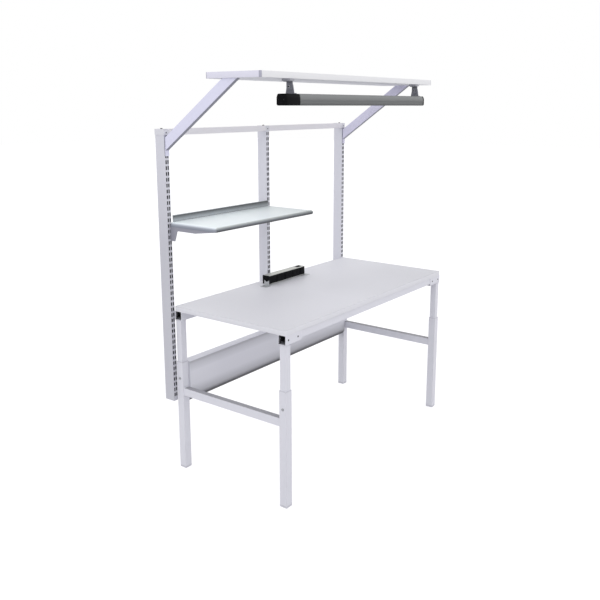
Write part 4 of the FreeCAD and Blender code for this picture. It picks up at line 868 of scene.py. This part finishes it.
def addLampScrews():
    grids = []
    aside = endScrewLook["asideMm"] * mm
    for node, out in (("lamp_driver_box", -1), ("lamp_end_cap", 1)):
        low, high = (np.array(corner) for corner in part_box(node))
        face = low[0] if out < 0 else high[0]
        middle = (low + high) / 2
        for step in (-aside, aside):
            grids.append(turned(smallScrew, [face, middle[1] + step, middle[2]], out * xAxis, steps=30))
    addPiece("lampEndScrews", grids, finishes["black_steel"], "lamp")


addLampEnd("lampDriverCover", "lamp_driver_box", (7, 2.5))
addLampEnd("lampEndCover", "lamp_end_cap", (0.6, 4))
addLampKnobs()
addLampScrews()
print("lamp done")


# floor, light and camera

studio = {"floorMm": 60000, "cloudMm": 900, "bounceDownMm": 0.5, "shown": "#97979A", "shownDeep": "#8F8F93",
          "glow": 0.8, "bounce": "#D2D2D4", "bounceDeep": "#CACACD", "horizon": 0.84, "overhead": 0.98,
          "left": 0.38, "front": 0.40}


def addFloor(name, light, deep, glow, down):
    side = studio["floorMm"] * mm / 2
    corners = np.array([[-side, -side], [side, -side], [side, side], [-side, side]])
    mesh = bpy.data.meshes.new(name)
    mesh.from_pydata(np.hstack([corners, np.full((4, 1), -down)]).tolist(), [], [(0, 1, 2, 3)])
    material, tree, shader = newMaterial(name, **{
        "Roughness": 0.9, "Specular IOR Level": 0.0, "Emission Color": (1, 1, 1, 1),
        "Emission Strength": glow})
    place = addNode(tree, "ShaderNodeTexCoord").outputs["Object"]
    cloud = addNode(tree, "ShaderNodeTexNoise", {"Vector": place, "Scale": perMetre(studio["cloudMm"])})
    tone = addNode(tree, "ShaderNodeMix", {
        0: cloud.outputs[0], 6: hexToLinear(deep), 7: hexToLinear(light)}, data_type="RGBA")
    tree.links.new(tone.outputs[2], shader.inputs["Base Color"])
    mesh.materials.append(material)
    floor = bpy.data.objects.new(name, mesh)
    bpy.context.scene.collection.objects.link(floor)
    return floor


def addFloors():
    # a lit white floor that only the eye sees, and a pale one that throws light up at the bench
    shown = addFloor("paleFloor", studio["shown"], studio["shownDeep"], studio["glow"], 0.0)
    shown.visible_diffuse = False
    shown.visible_glossy = False
    shown.visible_shadow = False
    down = studio["bounceDownMm"] * mm
    bounce = addFloor("paleFloorBounce", studio["bounce"], studio["bounceDeep"], 0.0, down)
    bounce.visible_camera = False


def addLight():
    # a white room: brightest from the left and the front, weaker overhead, weakest from the right and
    # behind; the eye sees it plain white
    world = bpy.data.worlds.new("studio")
    world.use_nodes = True
    tree = world.node_tree
    tree.nodes.clear()
    way = addNode(tree, "ShaderNodeTexCoord").outputs["Generated"]
    part = addNode(tree, "ShaderNodeSeparateXYZ", {0: way})
    sky = addNode(tree, "ShaderNodeMapRange", {
        0: part.outputs["Z"], 1: 0.0, 2: 1.0, 3: studio["horizon"], 4: studio["overhead"]})
    for name, axis in (("left", "X"), ("front", "Y")):
        share = addNode(tree, "ShaderNodeMapRange", {
            0: part.outputs[axis], 1: -1.0, 2: 0.0, 3: studio[name], 4: 0.0})
        sky = addNode(tree, "ShaderNodeMath", {0: sky.outputs[0], 1: share.outputs[0]}, operation="ADD")
    glow = addNode(tree, "ShaderNodeBackground", {"Color": (1, 1, 1, 1), "Strength": sky.outputs[0]})
    seen = addNode(tree, "ShaderNodeBackground", {"Color": (1, 1, 1, 1), "Strength": 1.0})
    path = addNode(tree, "ShaderNodeLightPath")
    both = addNode(tree, "ShaderNodeMixShader", {
        0: path.outputs["Is Camera Ray"], 1: glow.outputs[0], 2: seen.outputs[0]})
    addNode(tree, "ShaderNodeOutputWorld", {"Surface": both.outputs[0]})
    bpy.context.scene.world = world
    bpy.context.scene.view_settings.view_transform = "Standard"


eye = {"place": (-3.1925, -2.3086, 1.8344), "pitch": 78.292, "turn": -53.495, "lens": 44.08,
       "sensor": 36, "shiftX": -0.011, "shiftY": -0.070}


def addCamera():
    data = bpy.data.cameras.new("camera")
    data.sensor_width = eye["sensor"]
    data.lens = eye["lens"]
    data.shift_x = eye["shiftX"]
    data.shift_y = eye["shiftY"]
    camera = bpy.data.objects.new("camera", data)
    camera.location = eye["place"]
    camera.rotation_euler = (math.radians(eye["pitch"]), 0, math.radians(eye["turn"]))
    bpy.context.scene.collection.objects.link(camera)
    bpy.context.scene.camera = camera


addFloors()
addLight()
addCamera()
print("floor, light and camera done")

bpy.context.view_layer.update()
